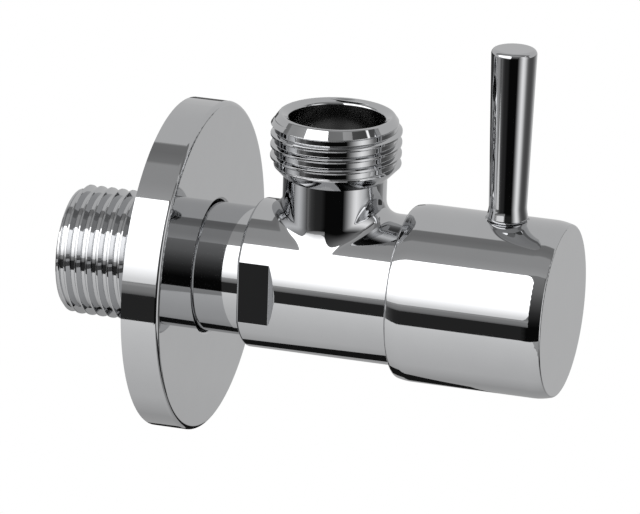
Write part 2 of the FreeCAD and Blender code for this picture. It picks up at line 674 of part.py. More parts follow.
def make_spindle(doc, sheet):
    """Brass spindle: driving bar, flange, two seal grooves, clip groove and teeth."""
    piece = Piece(doc, "spindle")
    corners = [("flange_back", "0"), ("flange_back", "flange_r")]
    corners += [("flange_front", "flange_r"), ("flange_front", "shaft_r")]
    for middle in ("o_ring_inner_x", "o_ring_outer_x"):
        back = f"{middle} - o_ring_groove_width / 2"
        front = f"{middle} + o_ring_groove_width / 2"
        corners += [(back, "shaft_r"), (back, "o_ring_floor_r")]
        corners += [(front, "o_ring_floor_r"), (front, "shaft_r")]
    corners += [("clip_back", "shaft_r"), ("clip_back", "clip_floor_r")]
    corners += [("clip_front + running_gap", "clip_floor_r"), ("clip_front + running_gap", "spline_r")]
    corners += [("spindle_end", "spline_r"), ("spindle_end", "0")]
    piece.spin("shaft", corners)
    piece.dress("Chamfer", "tip_bevel", "edge_round", ring_at(sheet, "spindle_end", "spline_r"))
    bar = piece.sketch("bar", "YZ_Plane", lift="flange_back")
    outline(bar, block(both("tang_r"), both("tang_width / 2")))
    piece.pad("bar", bar, "tang_height", back=True)
    notch = piece.sketch("notch", "YZ_Plane", lift="spline_back")
    outline(notch, [
        ("0", "spline_r - spline_depth"),
        ("spline_depth", "spline_r + spline_depth / 2"),
        ("-spline_depth", "spline_r + spline_depth / 2"),
    ])
    cut = piece.pocket("notch", notch, "spline_length")
    piece.around("teeth", cut, "spline_teeth")
    piece.turn("tapped_hole", [
        ("web_front - screw_length - stud_room - hole_r", "0"),
        ("web_front - screw_length - stud_room", "hole_r"),
        ("spindle_end", "hole_r"),
        ("spindle_end", "0"),
    ])
    return piece


def make_o_ring(doc, name, middle):
    """Rubber seal ring in a groove of the spindle."""
    ring = doc.addObject("Part::Torus", name)
    ring.Label = name
    ring.Placement = FreeCAD.Placement(FreeCAD.Vector(), FreeCAD.Rotation(FreeCAD.Vector(0, 1, 0), 90))
    ring.setExpression("Radius1", formula("o_ring_floor_r + o_ring_cord / 2"))
    ring.setExpression("Radius2", formula("o_ring_cord / 2"))
    ring.setExpression("Placement.Base.x", formula(middle))
    return ring


def make_circlip(doc):
    """Open spring ring that keeps the spindle in the bonnet."""
    piece = make_ring(doc, "spindle_circlip", "clip_back", "clip_front",
                      "clip_floor_r + running_gap", "shaft_r + clip_reach")
    opening = piece.sketch("opening", "YZ_Plane")
    outline(opening, block(both("clip_opening / 2"), ("0", "2 * (shaft_r + clip_reach)")))
    piece.pocket("opening", opening, "clip_thickness")
    return piece


def make_adapter(doc):
    """Plastic sleeve that carries the handle on the spindle's teeth."""
    piece = Piece(doc, "spline_adapter")
    piece.spin("sleeve", [
        ("spline_back", "adapter_bore_r"),
        ("spline_back", "adapter_r"),
        ("lever_x - adapter_groove", "adapter_r"),
        ("lever_x", "groove_r"),
        ("lever_x + adapter_groove", "adapter_r"),
        ("adapter_end", "adapter_r"),
        ("adapter_end", "head_r + head_gap"),
        ("web_front", "head_r + head_gap"),
        ("web_front", "hole_r + tang_play"),
        ("spindle_end", "hole_r + tang_play"),
        ("spindle_end", "adapter_bore_r"),
    ])
    key = piece.sketch("key", "YZ_Plane", lift="spline_back")
    outline(key, block(both("key_width / 2"), ("-key_r", "-groove_r")))
    piece.pad("key", key, "adapter_end - spline_back")
    return piece


def make_adapter_screw(doc, sheet):
    """Screw that holds the adapter on the end of the spindle."""
    piece = Piece(doc, "adapter_screw", along="web_front")
    piece.spin("screw", [
        ("-screw_length", "0"),
        ("-screw_length", "screw_r"),
        ("0", "screw_r"),
        ("0", "head_r"),
        ("head_height", "head_r"),
        ("head_height", "0"),
    ])
    socket = piece.sketch("socket", "YZ_Plane", lift="head_height")
    outline(socket, hexagon("head_socket"))
    piece.pocket("socket", socket, "head_socket_depth", forward=False)
    piece.dress("Fillet", "head_round", "edge_round", ring_at(sheet, "head_height", "head_r"))
    return piece


def make_handle(doc, sheet):
    """Cast handle: round shell with a front face, inner hub, ribs and lever boss."""
    piece = Piece(doc, "handle")
    piece.spin("shell", [
        ("handle_back", "handle_bore_r"),
        ("handle_back + rear_cone", "handle_r - rear_fall"),
        ("handle_back + rear_run", "handle_r"),
        ("handle_end - front_run", "handle_r"),
        ("handle_end", "handle_r - front_fall"),
        ("handle_end", "0"),
        ("floor_back", "0"),
        ("floor_back", "head_r + recess_gap"),
        ("adapter_end", "head_r + recess_gap"),
        ("adapter_end", "handle_hub_bore_r"),
        ("handle_hub_back", "handle_hub_bore_r"),
        ("handle_hub_back", "handle_hub_r"),
        ("floor_back", "handle_hub_r"),
        ("floor_back", "handle_bore_r"),
    ])
    for place in ("handle_back + rear_run", "handle_end - front_run"):
        piece.dress("Fillet", "bow", "end_bow", ring_at(sheet, place, "handle_r"))
    for name, place, radius in (
        ("rear_round", "handle_back + rear_cone", "handle_r - rear_fall"),
        ("front_round", "handle_end", "handle_r - front_fall"),
    ):
        piece.dress("Fillet", name, name, ring_at(sheet, place, radius))
    rib = piece.sketch("rib", "YZ_Plane", lift="floor_back")
    outline(rib, block(both("rib_thickness / 2"), ("handle_hub_r - rib_root", "handle_bore_r + rib_root")))
    first_rib = piece.pad("rib", rib, "rib_length", back=True)
    piece.around("ribs", first_rib, "rib_count")
    boss = piece.sketch("boss", "XY_Plane", lift="boss_foot")
    circle(boss, "boss_dia / 2", ("lever_x", "0"))
    piece.pad("boss", boss, "boss_top - boss_foot")
    hole = piece.sketch("tapped_hole", "XY_Plane", lift="groove_r")
    circle(hole, "hole_r", ("lever_x", "0"))
    piece.pocket("tapped_hole", hole, "handle_r")
    seat = piece.sketch("lever_seat", "XY_Plane", lift="lever_foot")
    circle(seat, "foot_r + lever_seat_gap", ("lever_x", "0"))
    piece.pocket("lever_seat", seat, "handle_wall")
    keyway = piece.sketch("keyway", "YZ_Plane", lift="handle_hub_back")
    outline(keyway, block(both("key_width / 2 + running_gap"), ("-(key_r + running_gap)", "-groove_r")))
    piece.pocket("keyway", keyway, "adapter_end - handle_hub_back")
    return piece


def make_lever_rod(doc, sheet):
    """Slender lever that widens towards its free end."""
    piece = Piece(doc, "lever_rod", along="lever_x")
    piece.spin("rod", [
        ("hole_r", "lever_foot"),
        ("foot_r", "lever_foot"),
        ("lever_base_r", "foot_top"),
        ("lever_top_r", "lever_top"),
        ("0", "lever_top"),
        ("0", "stud_high + stud_room + hole_r"),
        ("hole_r", "stud_high + stud_room"),
    ], axis="V_Axis")
    for name, height, edge in (
        ("lever_top_round", "lever_top", "lever_top_r"),
        ("foot_bow", "foot_top", "lever_base_r"),
        ("foot_round", "lever_foot", "foot_r"),
    ):
        piece.dress("Fillet", name, name, circle_at(sheet, height, edge, "0"))
    return piece


def make_lever_stud(doc):
    """Threaded stud that joins the lever to the handle."""
    piece = Piece(doc, "lever_stud", along="lever_x")
    piece.spin("stud", [
        ("0", "stud_low"),
        ("screw_r - edge_round", "stud_low"),
        ("screw_r", "stud_low + edge_round"),
        ("screw_r", "stud_high - edge_round"),
        ("screw_r - edge_round", "stud_high"),
        ("0", "stud_high"),
    ], axis="V_Axis")
    return piece


def make_grub_screw(doc):
    """Grub screw under the lever: its point sits in the adapter's groove."""
    piece = Piece(doc, "handle_grub_screw", along="lever_x")
    piece.spin("screw", [
        ("0", "grub_point"),
        ("screw_r", "grub_point + screw_r"),
        ("screw_r", "grub_top"),
        ("0", "grub_top"),
    ], axis="V_Axis")
    socket = piece.sketch("socket", "XY_Plane", lift="grub_top")
    outline(socket, hexagon("grub_socket"))
    piece.pocket("socket", socket, "grub_socket_depth", forward=False)
    return piece


def make_pieces(doc, sheet):
    """Every separate piece of the valve, from the wall outwards."""
    pieces = [
        make_valve_body(doc, sheet),
        make_wall_rosette(doc, sheet),
        make_ring(doc, "rosette_grip_ring", "ring_back", "ring_front", "ring_r", "ring_outer_r"),
        make_ring(doc, "seat_seal", "seat_x", "disc_back", "seal_split_dia / 2 + film", "fixed_disc_r"),
        make_ring(doc, "seat_seal_support_ring", "seat_x + support_inset", "disc_back",
                  "support_bore_dia / 2", "seal_split_dia / 2"),
        make_fixed_disc(doc),
        make_moving_disc(doc),
        make_ring(doc, "thrust_washer", "flange_front", "thrust_front", "shaft_hole_r", "thrust_r"),
        make_bonnet(doc, sheet),
        make_ring(doc, "bonnet_washer", "barrel_end", "bonnet_seat",
                  "bonnet_thread_r + thread_gap", "bonnet_thread_r + washer_width"),
        make_spindle(doc, sheet),
        make_circlip(doc),
        make_adapter(doc),
        make_adapter_screw(doc, sheet),
        make_handle(doc, sheet),
        make_grub_screw(doc),
        make_lever_stud(doc),
        make_lever_rod(doc, sheet),
    ]
    objects = [piece.body for piece in pieces]
    objects.append(make_o_ring(doc, "spindle_o_ring_inner", "o_ring_inner_x"))
    objects.append(make_o_ring(doc, "spindle_o_ring_outer", "o_ring_outer_x"))
    return objects


def check(doc, objects):
    """Stop unless every feature was built and every piece is one sound solid."""
    doc.recompute()
    for item in doc.Objects:
        if "Invalid" in item.State or "Error" in item.State:
            raise RuntimeError(f"{item.Label} failed: {item.State}")
    for item in objects:
        if item.Shape.isNull() or not item.Shape.isValid() or len(item.Shape.Solids) != 1:
            raise RuntimeError(f"{item.Label} is not one sound solid")


def main():
    """Build the valve and write each piece."""
    doc = FreeCAD.newDocument("shut_off_valve")
    sheet = make_sheet(doc)
    objects = make_pieces(doc, sheet)
    check(doc, objects)
    os.makedirs("parts", exist_ok=True)
    for item in objects:
        item.Shape.exportStep(f"parts/{item.Label}.step")
        box = item.Shape.BoundBox
        print(f"{item.Label}: {item.Shape.Volume:.1f} mm3,"
              f" x {box.XMin:.2f} to {box.XMax:.2f}, z {box.ZMin:.2f} to {box.ZMax:.2f}")


main()
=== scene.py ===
import logging
import math
from dataclasses import dataclass, field
from enum import Enum

import bpy
import numpy as np
from mathutils import Matrix, Vector


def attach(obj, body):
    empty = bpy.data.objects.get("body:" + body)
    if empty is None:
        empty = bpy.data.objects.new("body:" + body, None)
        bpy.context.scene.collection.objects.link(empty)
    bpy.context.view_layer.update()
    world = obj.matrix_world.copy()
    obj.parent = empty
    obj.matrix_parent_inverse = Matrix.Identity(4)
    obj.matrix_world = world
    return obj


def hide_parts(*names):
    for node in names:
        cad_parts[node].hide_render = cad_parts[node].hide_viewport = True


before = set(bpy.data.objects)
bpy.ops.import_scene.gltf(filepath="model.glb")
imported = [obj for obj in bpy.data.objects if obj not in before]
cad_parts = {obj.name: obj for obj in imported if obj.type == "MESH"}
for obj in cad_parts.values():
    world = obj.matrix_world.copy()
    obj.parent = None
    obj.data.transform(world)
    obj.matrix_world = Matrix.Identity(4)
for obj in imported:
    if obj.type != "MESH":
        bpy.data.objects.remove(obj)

# Visual model of an angle shut-off valve, chrome plated.
# The valve's sizes are in millimetres, in the frame of the construction: X runs out of the wall
# along the valve, Z runs up along the outlet. The finished meshes, the studio and the camera are
# in metres. Angles are in degrees, or in radians where that is said.

# Two limits or sizes, a place, and places or angles with a brightness each.
Span = tuple[float, float]
Spot = tuple[float, float, float]
Ramp = tuple[Span, ...]

MM = 0.001
# Size of the cells whose points are welded into one, and the difference below which places and
# angles count as equal. The offset keeps round sizes off the edges of the cells.
WELD = 1e-4
WELD_OFFSET = 0.3137
# Decimals that tell two places along the valve apart.
DIGITS = 6
# Small step that the slopes of the saddle are measured with.
STEP = 1e-4
# Degree of the curve across the saddle.
SADDLE_DEGREE = 5
FORWARD = np.array((1.0, 0.0, 0.0))
# Face mark of the insides: the material paints them a darker grey as shade and makes them duller.
BORE_MARK = "bore"
log = logging.getLogger("valve")


def unit(vectors: np.ndarray) -> np.ndarray:
    """Vectors of length one along the last axis."""
    return vectors / np.linalg.norm(vectors, axis=-1, keepdims=True)


def left_of(way: np.ndarray) -> np.ndarray:
    """The plane direction a quarter turn to the left of another."""
    return np.array((-way[1], way[0]))


def add_node(
    tree: bpy.types.NodeTree, kind: str, feeds: dict[str | int, object], **options: str
) -> bpy.types.Node:
    """Add a shader node and feed its inputs.

    Args:
        tree: node tree of the material.
        kind: kind of node.
        feeds: a value, or the output of another node, for each input.
        options: settings of the node that are no inputs.

    Returns:
        The node.
    """
    node = tree.nodes.new("ShaderNode" + kind)
    for name, choice in options.items():
        setattr(node, name, choice)
    feed_node(node, feeds)
    return node


def feed_node(node: bpy.types.Node, feeds: dict[str | int, object]) -> None:
    """Set inputs of a node.

    Args:
        node: the node.
        feeds: a value, or the output of another node, for each input.
    """
    for name, source in feeds.items():
        if isinstance(source, bpy.types.NodeSocket):
            node.id_data.links.new(source, node.inputs[name])
        else:
            node.inputs[name].default_value = source


class Slot(Enum):
    """Material slots of the record."""

    CHROME = "chrome"
    CHROME_ZINC = "chrome_zinc"
    RAW_BRASS = "raw_brass"
    RUBBER = "rubber"
    CERAMIC = "ceramic"
    FIBRE = "fibre"
    SLIP_PLASTIC = "slip_plastic"
    ADAPTER_PLASTIC = "adapter_plastic"
    STEEL = "steel"


class Body(Enum):
    """Bodies that the meshes made here ride on."""

    VALVE = "valve"
    HANDLE = "handle_group"


@dataclass(frozen=True)
class Finish:
    """A surface finish with a fine drift of colour, polish and relief.

    Attributes:
        name: name of the material.
        colour: colour in most places.
        drift_colour: colour that it drifts to.
        metallic: 1 for metal.
        roughness: lowest and highest roughness.
        grain: drift patches per metre.
        detail: how many finer layers the drift has.
        spread: values of the drift between which the roughness changes.
        relief: height of the fine relief in metres.
        stretch: how much finer the grain is along each axis.
        bore_shade_and_dullness: darker grey painted on the inside as shade, and the higher roughness of
            the duller inside, where a piece has one.
    """

    name: str
    colour: tuple[float, float, float]
    drift_colour: tuple[float, float, float]
    metallic: float = 0.0
    roughness: tuple[float, float] = (0.3, 0.4)
    grain: float = 600.0
    detail: float = 4.0
    spread: tuple[float, float] = (0.35, 0.7)
    relief: float = 0.0
    stretch: tuple[float, float, float] = (1.0, 1.0, 1.0)
    bore_shade_and_dullness: tuple[float, float] | None = None

    def material(self) -> bpy.types.Material:
        """Build the node material.

        Returns:
            The material, made once and shared by every piece with this finish.
        """
        if self.name in bpy.data.materials:
            return bpy.data.materials[self.name]
        material = bpy.data.materials.new(self.name)
        material.use_nodes = True
        tree = material.node_tree
        place = add_node(tree, "TexCoord", {})
        mapping = add_node(tree, "Mapping", {"Scale": self.stretch, "Vector": place.outputs["Object"]})
        noise = add_node(tree, "TexNoise", {
            "Scale": self.grain, "Detail": self.detail, "Vector": mapping.outputs["Vector"],
        })
        drift = noise.outputs["Fac"]
        tint = add_node(tree, "Mix", {
            "A": (*self.colour, 1.0), "B": (*self.drift_colour, 1.0), "Factor": drift,
        }, data_type="RGBA")
        polish = add_node(tree, "MapRange", {
            "From Min": self.spread[0], "From Max": self.spread[1],
            "To Min": self.roughness[0], "To Max": self.roughness[1], "Value": drift,
        })
        colour, roughness = tint.outputs["Result"], polish.outputs["Result"]
        if self.bore_shade_and_dullness:
            colour, roughness = self.with_bore(tree, colour, roughness)
        feeds = {"Metallic": self.metallic, "Base Color": colour, "Roughness": roughness}
        if self.relief:
            bump = add_node(tree, "Bump", {"Distance": self.relief, "Height": drift})
            feeds["Normal"] = bump.outputs["Normal"]
        feed_node(tree.nodes["Principled BSDF"], feeds)
        return material

    def with_bore(
        self, tree: bpy.types.NodeTree, colour: bpy.types.NodeSocket, roughness: bpy.types.NodeSocket
    ) -> tuple[bpy.types.NodeSocket, bpy.types.NodeSocket]:
        """Make the marked faces darker and duller.

        Args:
            tree: node tree of the material.
            colour: socket with the colour of the polished outside.
            roughness: socket with its roughness.

        Returns:
            Sockets with the colour and the roughness of the whole piece.
        """
        # Painted shade: the inside faces are mixed to a darker grey; their higher roughness is the duller
        # inside.
        grey, dull = self.bore_shade_and_dullness
        mark = add_node(tree, "Attribute", {}, attribute_name=BORE_MARK).outputs["Fac"]
        shade = add_node(tree, "Mix", {
            "A": colour, "B": (grey, grey, grey, 1.0), "Factor": mark,
        }, data_type="RGBA")
        matt = add_node(tree, "Mix", {"A": roughness, "B": dull, "Factor": mark})
        return shade.outputs["Result"], matt.outputs["Result"]


FINISHES: dict[Slot, Finish] = {
    Slot.CHROME: Finish(
        "chrome_plate_on_brass", (0.6, 0.605, 0.615), (0.57, 0.575, 0.585),
        # Insides: grey 0.34 is painted shade, roughness 0.14 is their duller surface.
        metallic=1.0, roughness=(0.02, 0.05), grain=260.0, bore_shade_and_dullness=(0.34, 0.14),
    ),
    Slot.CHROME_ZINC: Finish(
        "chrome_plate_on_zinc", (0.6, 0.605, 0.615), (0.57, 0.575, 0.585),
        metallic=1.0, roughness=(0.02, 0.05), grain=220.0,
    ),
    Slot.RAW_BRASS: Finish(
        "turned_brass", (0.72, 0.53, 0.24), (0.6, 0.42, 0.17),
        metallic=1.0, roughness=(0.2, 0.34), grain=500.0, relief=4e-6, stretch=(6.0, 1.0, 1.0),
    ),
    Slot.RUBBER: Finish(
        "black_rubber", (0.02, 0.02, 0.021), (0.035, 0.035, 0.036),
        roughness=(0.5, 0.66), grain=1500.0, relief=8e-6,
    ),
    Slot.CERAMIC: Finish(
        "lapped_ceramic", (0.82, 0.81, 0.76), (0.76, 0.75, 0.7),
        roughness=(0.14, 0.22), grain=900.0, relief=2e-6,
    ),
    Slot.FIBRE: Finish(
        "fibre_washer", (0.3, 0.09, 0.05), (0.18, 0.05, 0.03),
        roughness=(0.65, 0.8), grain=2200.0, relief=2e-5,
    ),
    Slot.SLIP_PLASTIC: Finish(
        "white_slip_plastic", (0.8, 0.8, 0.78), (0.74, 0.74, 0.72),
        roughness=(0.35, 0.48), grain=1200.0, relief=6e-6,
    ),
    Slot.ADAPTER_PLASTIC: Finish(
        "moulded_plastic", (0.03, 0.03, 0.033), (0.045, 0.045, 0.048),
        roughness=(0.4, 0.55), grain=1800.0, relief=1e-5,
    ),
    Slot.STEEL: Finish(
        "stainless_steel", (0.58, 0.57, 0.56), (0.48, 0.475, 0.47),
        metallic=1.0, roughness=(0.18, 0.3), grain=700.0, relief=3e-6, stretch=(1.0, 8.0, 8.0),
    ),
}


class Skin:
    """Grid patches with exact normals, welded into one closed mesh."""

    def __init__(self) -> None:
        """Start with no patch."""
        self.points: list[np.ndarray] = []
        self.normals: list[np.ndarray] = []
        self.quads: list[np.ndarray] = []
        self.bores: list[np.ndarray] = []
        self.count: int = 0

    def patch(
        self, points: np.ndarray, normals: np.ndarray, closed: bool = False, bore: float = 0.0
    ) -> None:
        """Add a grid of points.

        Args:
            points: rows by columns by 3, in millimetres.
            normals: outward normals of the same shape.
            closed: join the last column to the first.
            bore: 1 for the inside, which is duller and painted darker as shade, 0 for the polished
                outside.
        """
        rows, columns = points.shape[:2]
        number = np.arange(rows * columns).reshape(rows, columns) + self.count
        if closed:
            number = np.concatenate((number, number[:, :1]), axis=1)
        corners = (number[:-1, :-1], number[:-1, 1:], number[1:, 1:], number[1:, :-1])
        self.quads.append(np.stack([part.ravel() for part in corners], axis=1))
        self.bores.append(np.full(corners[0].size, bore))
        self.points.append(points.reshape(-1, 3))
        self.normals.append(unit(normals.reshape(-1, 3)))
        self.count += rows * columns

    def strip(self, first: np.ndarray, second: np.ndarray, normal: np.ndarray) -> None:
        """Add a flat band between two closed lines of points that share one normal."""
        points = np.stack((first, second))
        self.patch(points, np.broadcast_to(normal, points.shape), closed=True)

    def mesh(self, name: str) -> bpy.types.Mesh:
        """Weld the patches and turn every face outwards.

        Args:
            name: name of the mesh.

        Returns:
            The mesh in metres, with the exact normals at its corners.
        """
        points = np.concatenate(self.points)
        normals = np.concatenate(self.normals)
        quads = np.concatenate(self.quads)
        bores = np.concatenate(self.bores)
        keys = np.floor(points / WELD + WELD_OFFSET).astype(np.int64)
        _, first, same = np.unique(keys, axis=0, return_index=True, return_inverse=True)
        same = same.ravel()
        # A face that looks against its normals has its corners put in the other order.
        spots = points[quads]
        facing = np.cross(spots[:, 2] - spots[:, 0], spots[:, 3] - spots[:, 1])
        turned = (facing * normals[quads].sum(axis=1)).sum(axis=1) < 0
        quads[turned] = quads[turned][:, ::-1]
        welded = same[quads]
        faces, corner_normals, face_bores = [], [], []
        for corners, numbers, bore in zip(welded.tolist(), quads.tolist(), bores.tolist()):
            # Welding turns some quads into triangles, or into nothing.
            keep = [k for k in range(4) if corners[k] != corners[k - 1]]
            if len({corners[k] for k in keep}) < 3 or len(keep) < 3:
                continue
            faces.append([corners[k] for k in keep])
            corner_normals.extend(numbers[k] for k in keep)
            face_bores.append(bore)
        mesh = bpy.data.meshes.new(name)
        mesh.from_pydata((points[first] * MM).tolist(), [], faces)
        mesh.polygons.foreach_set("use_smooth", [True] * len(faces))
        mesh.normals_split_custom_set(normals[corner_normals].tolist())
        # This mark tells the material where to paint the darker grey of shade and the duller polish.
        mesh.attributes.new(BORE_MARK, "FLOAT", "FACE").data.foreach_set("value", face_bores)
        mesh.update()
        return mesh


@dataclass(frozen=True)
class Corner:
    """A corner of a turned profile: place along the axis, radius, and rounding."""

    along: float
    radius: float
    rounding: float = 0.0


class Profile:
    """Section of a turned form. The material lies on the right of the walking direction."""

    def __init__(self, corners: list[Corner], steps: int = 8) -> None:
        """Walk along the corners.

        Args:
            corners: corners in order.
            steps: stretches in each rounding.
        """
        rows: list[tuple[float, float, float, float]] = []
        spots = [np.array((corner.along, corner.radius)) for corner in corners]
        for k, spot in enumerate(spots):
            before = unit(spot - spots[k - 1]) if k else None
            after = unit(spots[k + 1] - spot) if k + 1 < len(spots) else None
            rounding = corners[k].rounding
            if rounding and before is not None and after is not None:
                rows.extend(self.rounded(spot, before, after, rounding, steps))
                continue
            for way in (before, after):
                if way is not None:
                    rows.append((*spot, *left_of(way)))
        self.along, self.radius, self.lean, self.out = np.array(rows).T

    def rows(self) -> np.ndarray:
        """Rows of place, radius, and the two parts of the normal."""
        return np.stack((self.along, self.radius, self.lean, self.out), axis=1)

    def drop_last(self) -> None:
        """Leave off the last row."""
        self.along, self.radius, self.lean, self.out = (
            values[:-1] for values in (self.along, self.radius, self.lean, self.out)
        )

    @staticmethod
    def rounded(
        spot: np.ndarray, before: np.ndarray, after: np.ndarray, rounding: float, steps: int
    ) -> list[tuple[float, float, float, float]]:
        """Points and normals of a tangent arc at one corner.

        Args:
            spot: the sharp corner.
            before: direction into the corner.
            after: direction out of the corner.
            rounding: radius of the arc.
            steps: stretches in the arc.

        Returns:
            Rows of place, radius, and the two parts of the normal.
        """
        turn = math.atan2(before[0] * after[1] - before[1] * after[0], before @ after)
        start = spot - before * rounding * math.tan(abs(turn) / 2)
        side = math.copysign(1.0, turn)
        centre = start + left_of(before) * rounding * side
        rows = []
        for k in range(steps + 1):
            angle = turn * k / steps
            normal = left_of(before) * math.cos(angle) - before * math.sin(angle)
            rows.append((*(centre - normal * rounding * side), *normal))
        return rows


@dataclass(frozen=True)
class Axis:
    """An axis to turn about: its direction, and the point that places along it start from."""

    way: Spot
    centre: Spot = (0.0, 0.0, 0.0)

    def revolve(self, skin: Skin, profile: Profile, rings: np.ndarray, bore: float = 0.0) -> None:
        """Add a turned surface to a skin.

        Args:
            skin: skin to add to.
            profile: section to turn.
            rings: unit directions away from the axis, one for each column, or a row of them for
                each row of the profile.
            bore: 1 for the inside, which is duller and painted darker as shade.
        """
        way = np.array(self.way)
        points = (
            np.array(self.centre)
            + profile.along[:, None, None] * way
            + profile.radius[:, None, None] * rings
        )
        normals = profile.lean[:, None, None] * way + profile.out[:, None, None] * rings
        skin.patch(points, normals, closed=True, bore=bore)


def run_rings(degrees: np.ndarray) -> np.ndarray:
    """Directions round the X axis, at angles from straight up towards +Y."""
    turn = np.radians(degrees)
    return np.stack((np.zeros_like(turn), np.sin(turn), np.cos(turn)), axis=-1)


def rise_rings(turn: np.ndarray) -> np.ndarray:
    """Directions round the Z axis, at angles in radians from +X towards +Y."""
    return np.stack((np.cos(turn), np.sin(turn), np.zeros_like(turn)), axis=-1)


@dataclass(frozen=True)
class PipeThread:
    """Right-handed pipe thread with crests and roots that were polished flat.

    Attributes:
        outer: radius over the crests.
        start: where it starts along the axis.
        end: where it ends.
        phase: a crest's place along the axis at zero turn.
        cones: place, radius and slope of the cones that cut it at its ends.
        pitch: distance between two turns.
        depth: height of the crests over the roots.
        crest: width of a crest.
        flank: slope of the flanks against the cross-section, in degrees.
        edge: rounding at crests and roots.
        edge_steps: stretches in each rounding.
        spare_turns: turns added beyond each end before the thread is cut to length.
        digits: decimals that tell two places of the section apart.
    """

    outer: float
    start: float
    end: float
    phase: float
    cones: tuple[Spot, ...] = ()
    pitch: float = 1.814
    depth: float = 0.64
    crest: float = 0.34
    flank: float = 27.5
    edge: float = 0.08
    edge_steps: int = 3
    spare_turns: int = 3
    digits: int = 9

    def ridge(self) -> Profile:
        """Section of one turn.

        Returns:
            The section from the middle of a root to the middle of the next.
        """
        half = self.pitch / 2
        run = self.depth * math.tan(math.radians(self.flank))
        root = self.outer - self.depth
        top = self.crest / 2
        return Profile([
            Corner(-half, root), Corner(-top - run, root, self.edge), Corner(-top, self.outer, self.edge),
            Corner(top, self.outer, self.edge), Corner(top + run, root, self.edge), Corner(half, root),
        ], self.edge_steps)

    def section(self, place: np.ndarray) -> tuple[np.ndarray, np.ndarray]:
        """Radius and its slope at places measured along the axis from a crest.

        Args:
            place: distances along the axis, at any number of pitches.

        Returns:
            The radius and how fast it grows along the axis.
        """
        ridge = self.ridge()
        half = self.pitch / 2
        offset = (place + half) % self.pitch - half
        radius, lean, out = (
            np.interp(offset, ridge.along, values) for values in (ridge.radius, ridge.lean, ridge.out)
        )
        return radius, -lean / out

    def surface(self, along: np.ndarray, turn: np.ndarray) -> tuple[np.ndarray, np.ndarray, np.ndarray]:
        """Radius and normal of the cut thread.

        Args:
            along: places along the axis.
            turn: angles in radians, right-handed about the axis.

        Returns:
            The radius, and the normal's parts along the axis and round it. The part away from
            the axis is one.
        """
        radius, slope = self.section(along - self.phase - self.pitch * turn / math.tau)
        round_part = slope * self.pitch / math.tau / radius
        lean = -slope
        for place, at_radius, grade in self.cones:
            cone = at_radius + grade * (along - place)
            cut = cone < radius
            radius = np.where(cut, cone, radius)
            lean = np.where(cut, -grade, lean)
            round_part = np.where(cut, 0.0, round_part)
        return radius, lean, round_part

    def cut(self, skin: Skin, axis: Axis, rings: np.ndarray, turns: np.ndarray) -> None:
        """Add the thread to a skin.

        Args:
            skin: skin to add to.
            axis: the thread's axis.
            rings: unit directions away from the axis, with the first one again at the end.
            turns: right-handed angles of these directions in radians, over one full turn.
        """
        first = math.floor((self.start - self.phase) / self.pitch) - self.spare_turns
        last = math.ceil((self.end - self.phase) / self.pitch) + self.spare_turns
        rows = np.unique(self.ridge().along.round(self.digits))[:-1]
        spots = (np.arange(first, last)[:, None] * self.pitch + rows).ravel()
        along = spots[:, None] + self.phase + self.pitch * turns[None, :] / math.tau
        along = np.clip(along, self.start, self.end)
        radius, lean, round_part = self.surface(along, turns[None, :])
        way = np.array(axis.way)
        side = np.cross(way, rings)
        points = np.array(axis.centre) + along[..., None] * way + radius[..., None] * rings
        normals = lean[..., None] * way + rings + round_part[..., None] * side
        skin.patch(points, normals)

    def rim(self, axis: Axis, rings: np.ndarray, turns: np.ndarray, place: float) -> np.ndarray:
        """Points where the thread ends at a flat face."""
        radius = self.surface(np.full_like(turns, place), turns)[0]
        return np.array(axis.centre) + place * np.array(axis.way) + radius[:, None] * rings


def make_piece(name: str, skin: Skin, body: Body, slot: Slot, replaces: str) -> bpy.types.Object:
    """Put a finished skin into the scene as a visible piece.

    Args:
        name: name of the piece.
        skin: its skin.
        body: body that it rides on.
        slot: material slot of the record.
        replaces: construction node that it stands for.

    Returns:
        The object.
    """
    mesh = skin.mesh(name)
    piece = bpy.data.objects.new(name, mesh)
    bpy.context.scene.collection.objects.link(piece)
    mesh.materials.append(FINISHES[slot].material())
    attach(piece, body.value)
    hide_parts(replaces)
    log.info("%s: %d faces", name, len(mesh.polygons))
    return piece


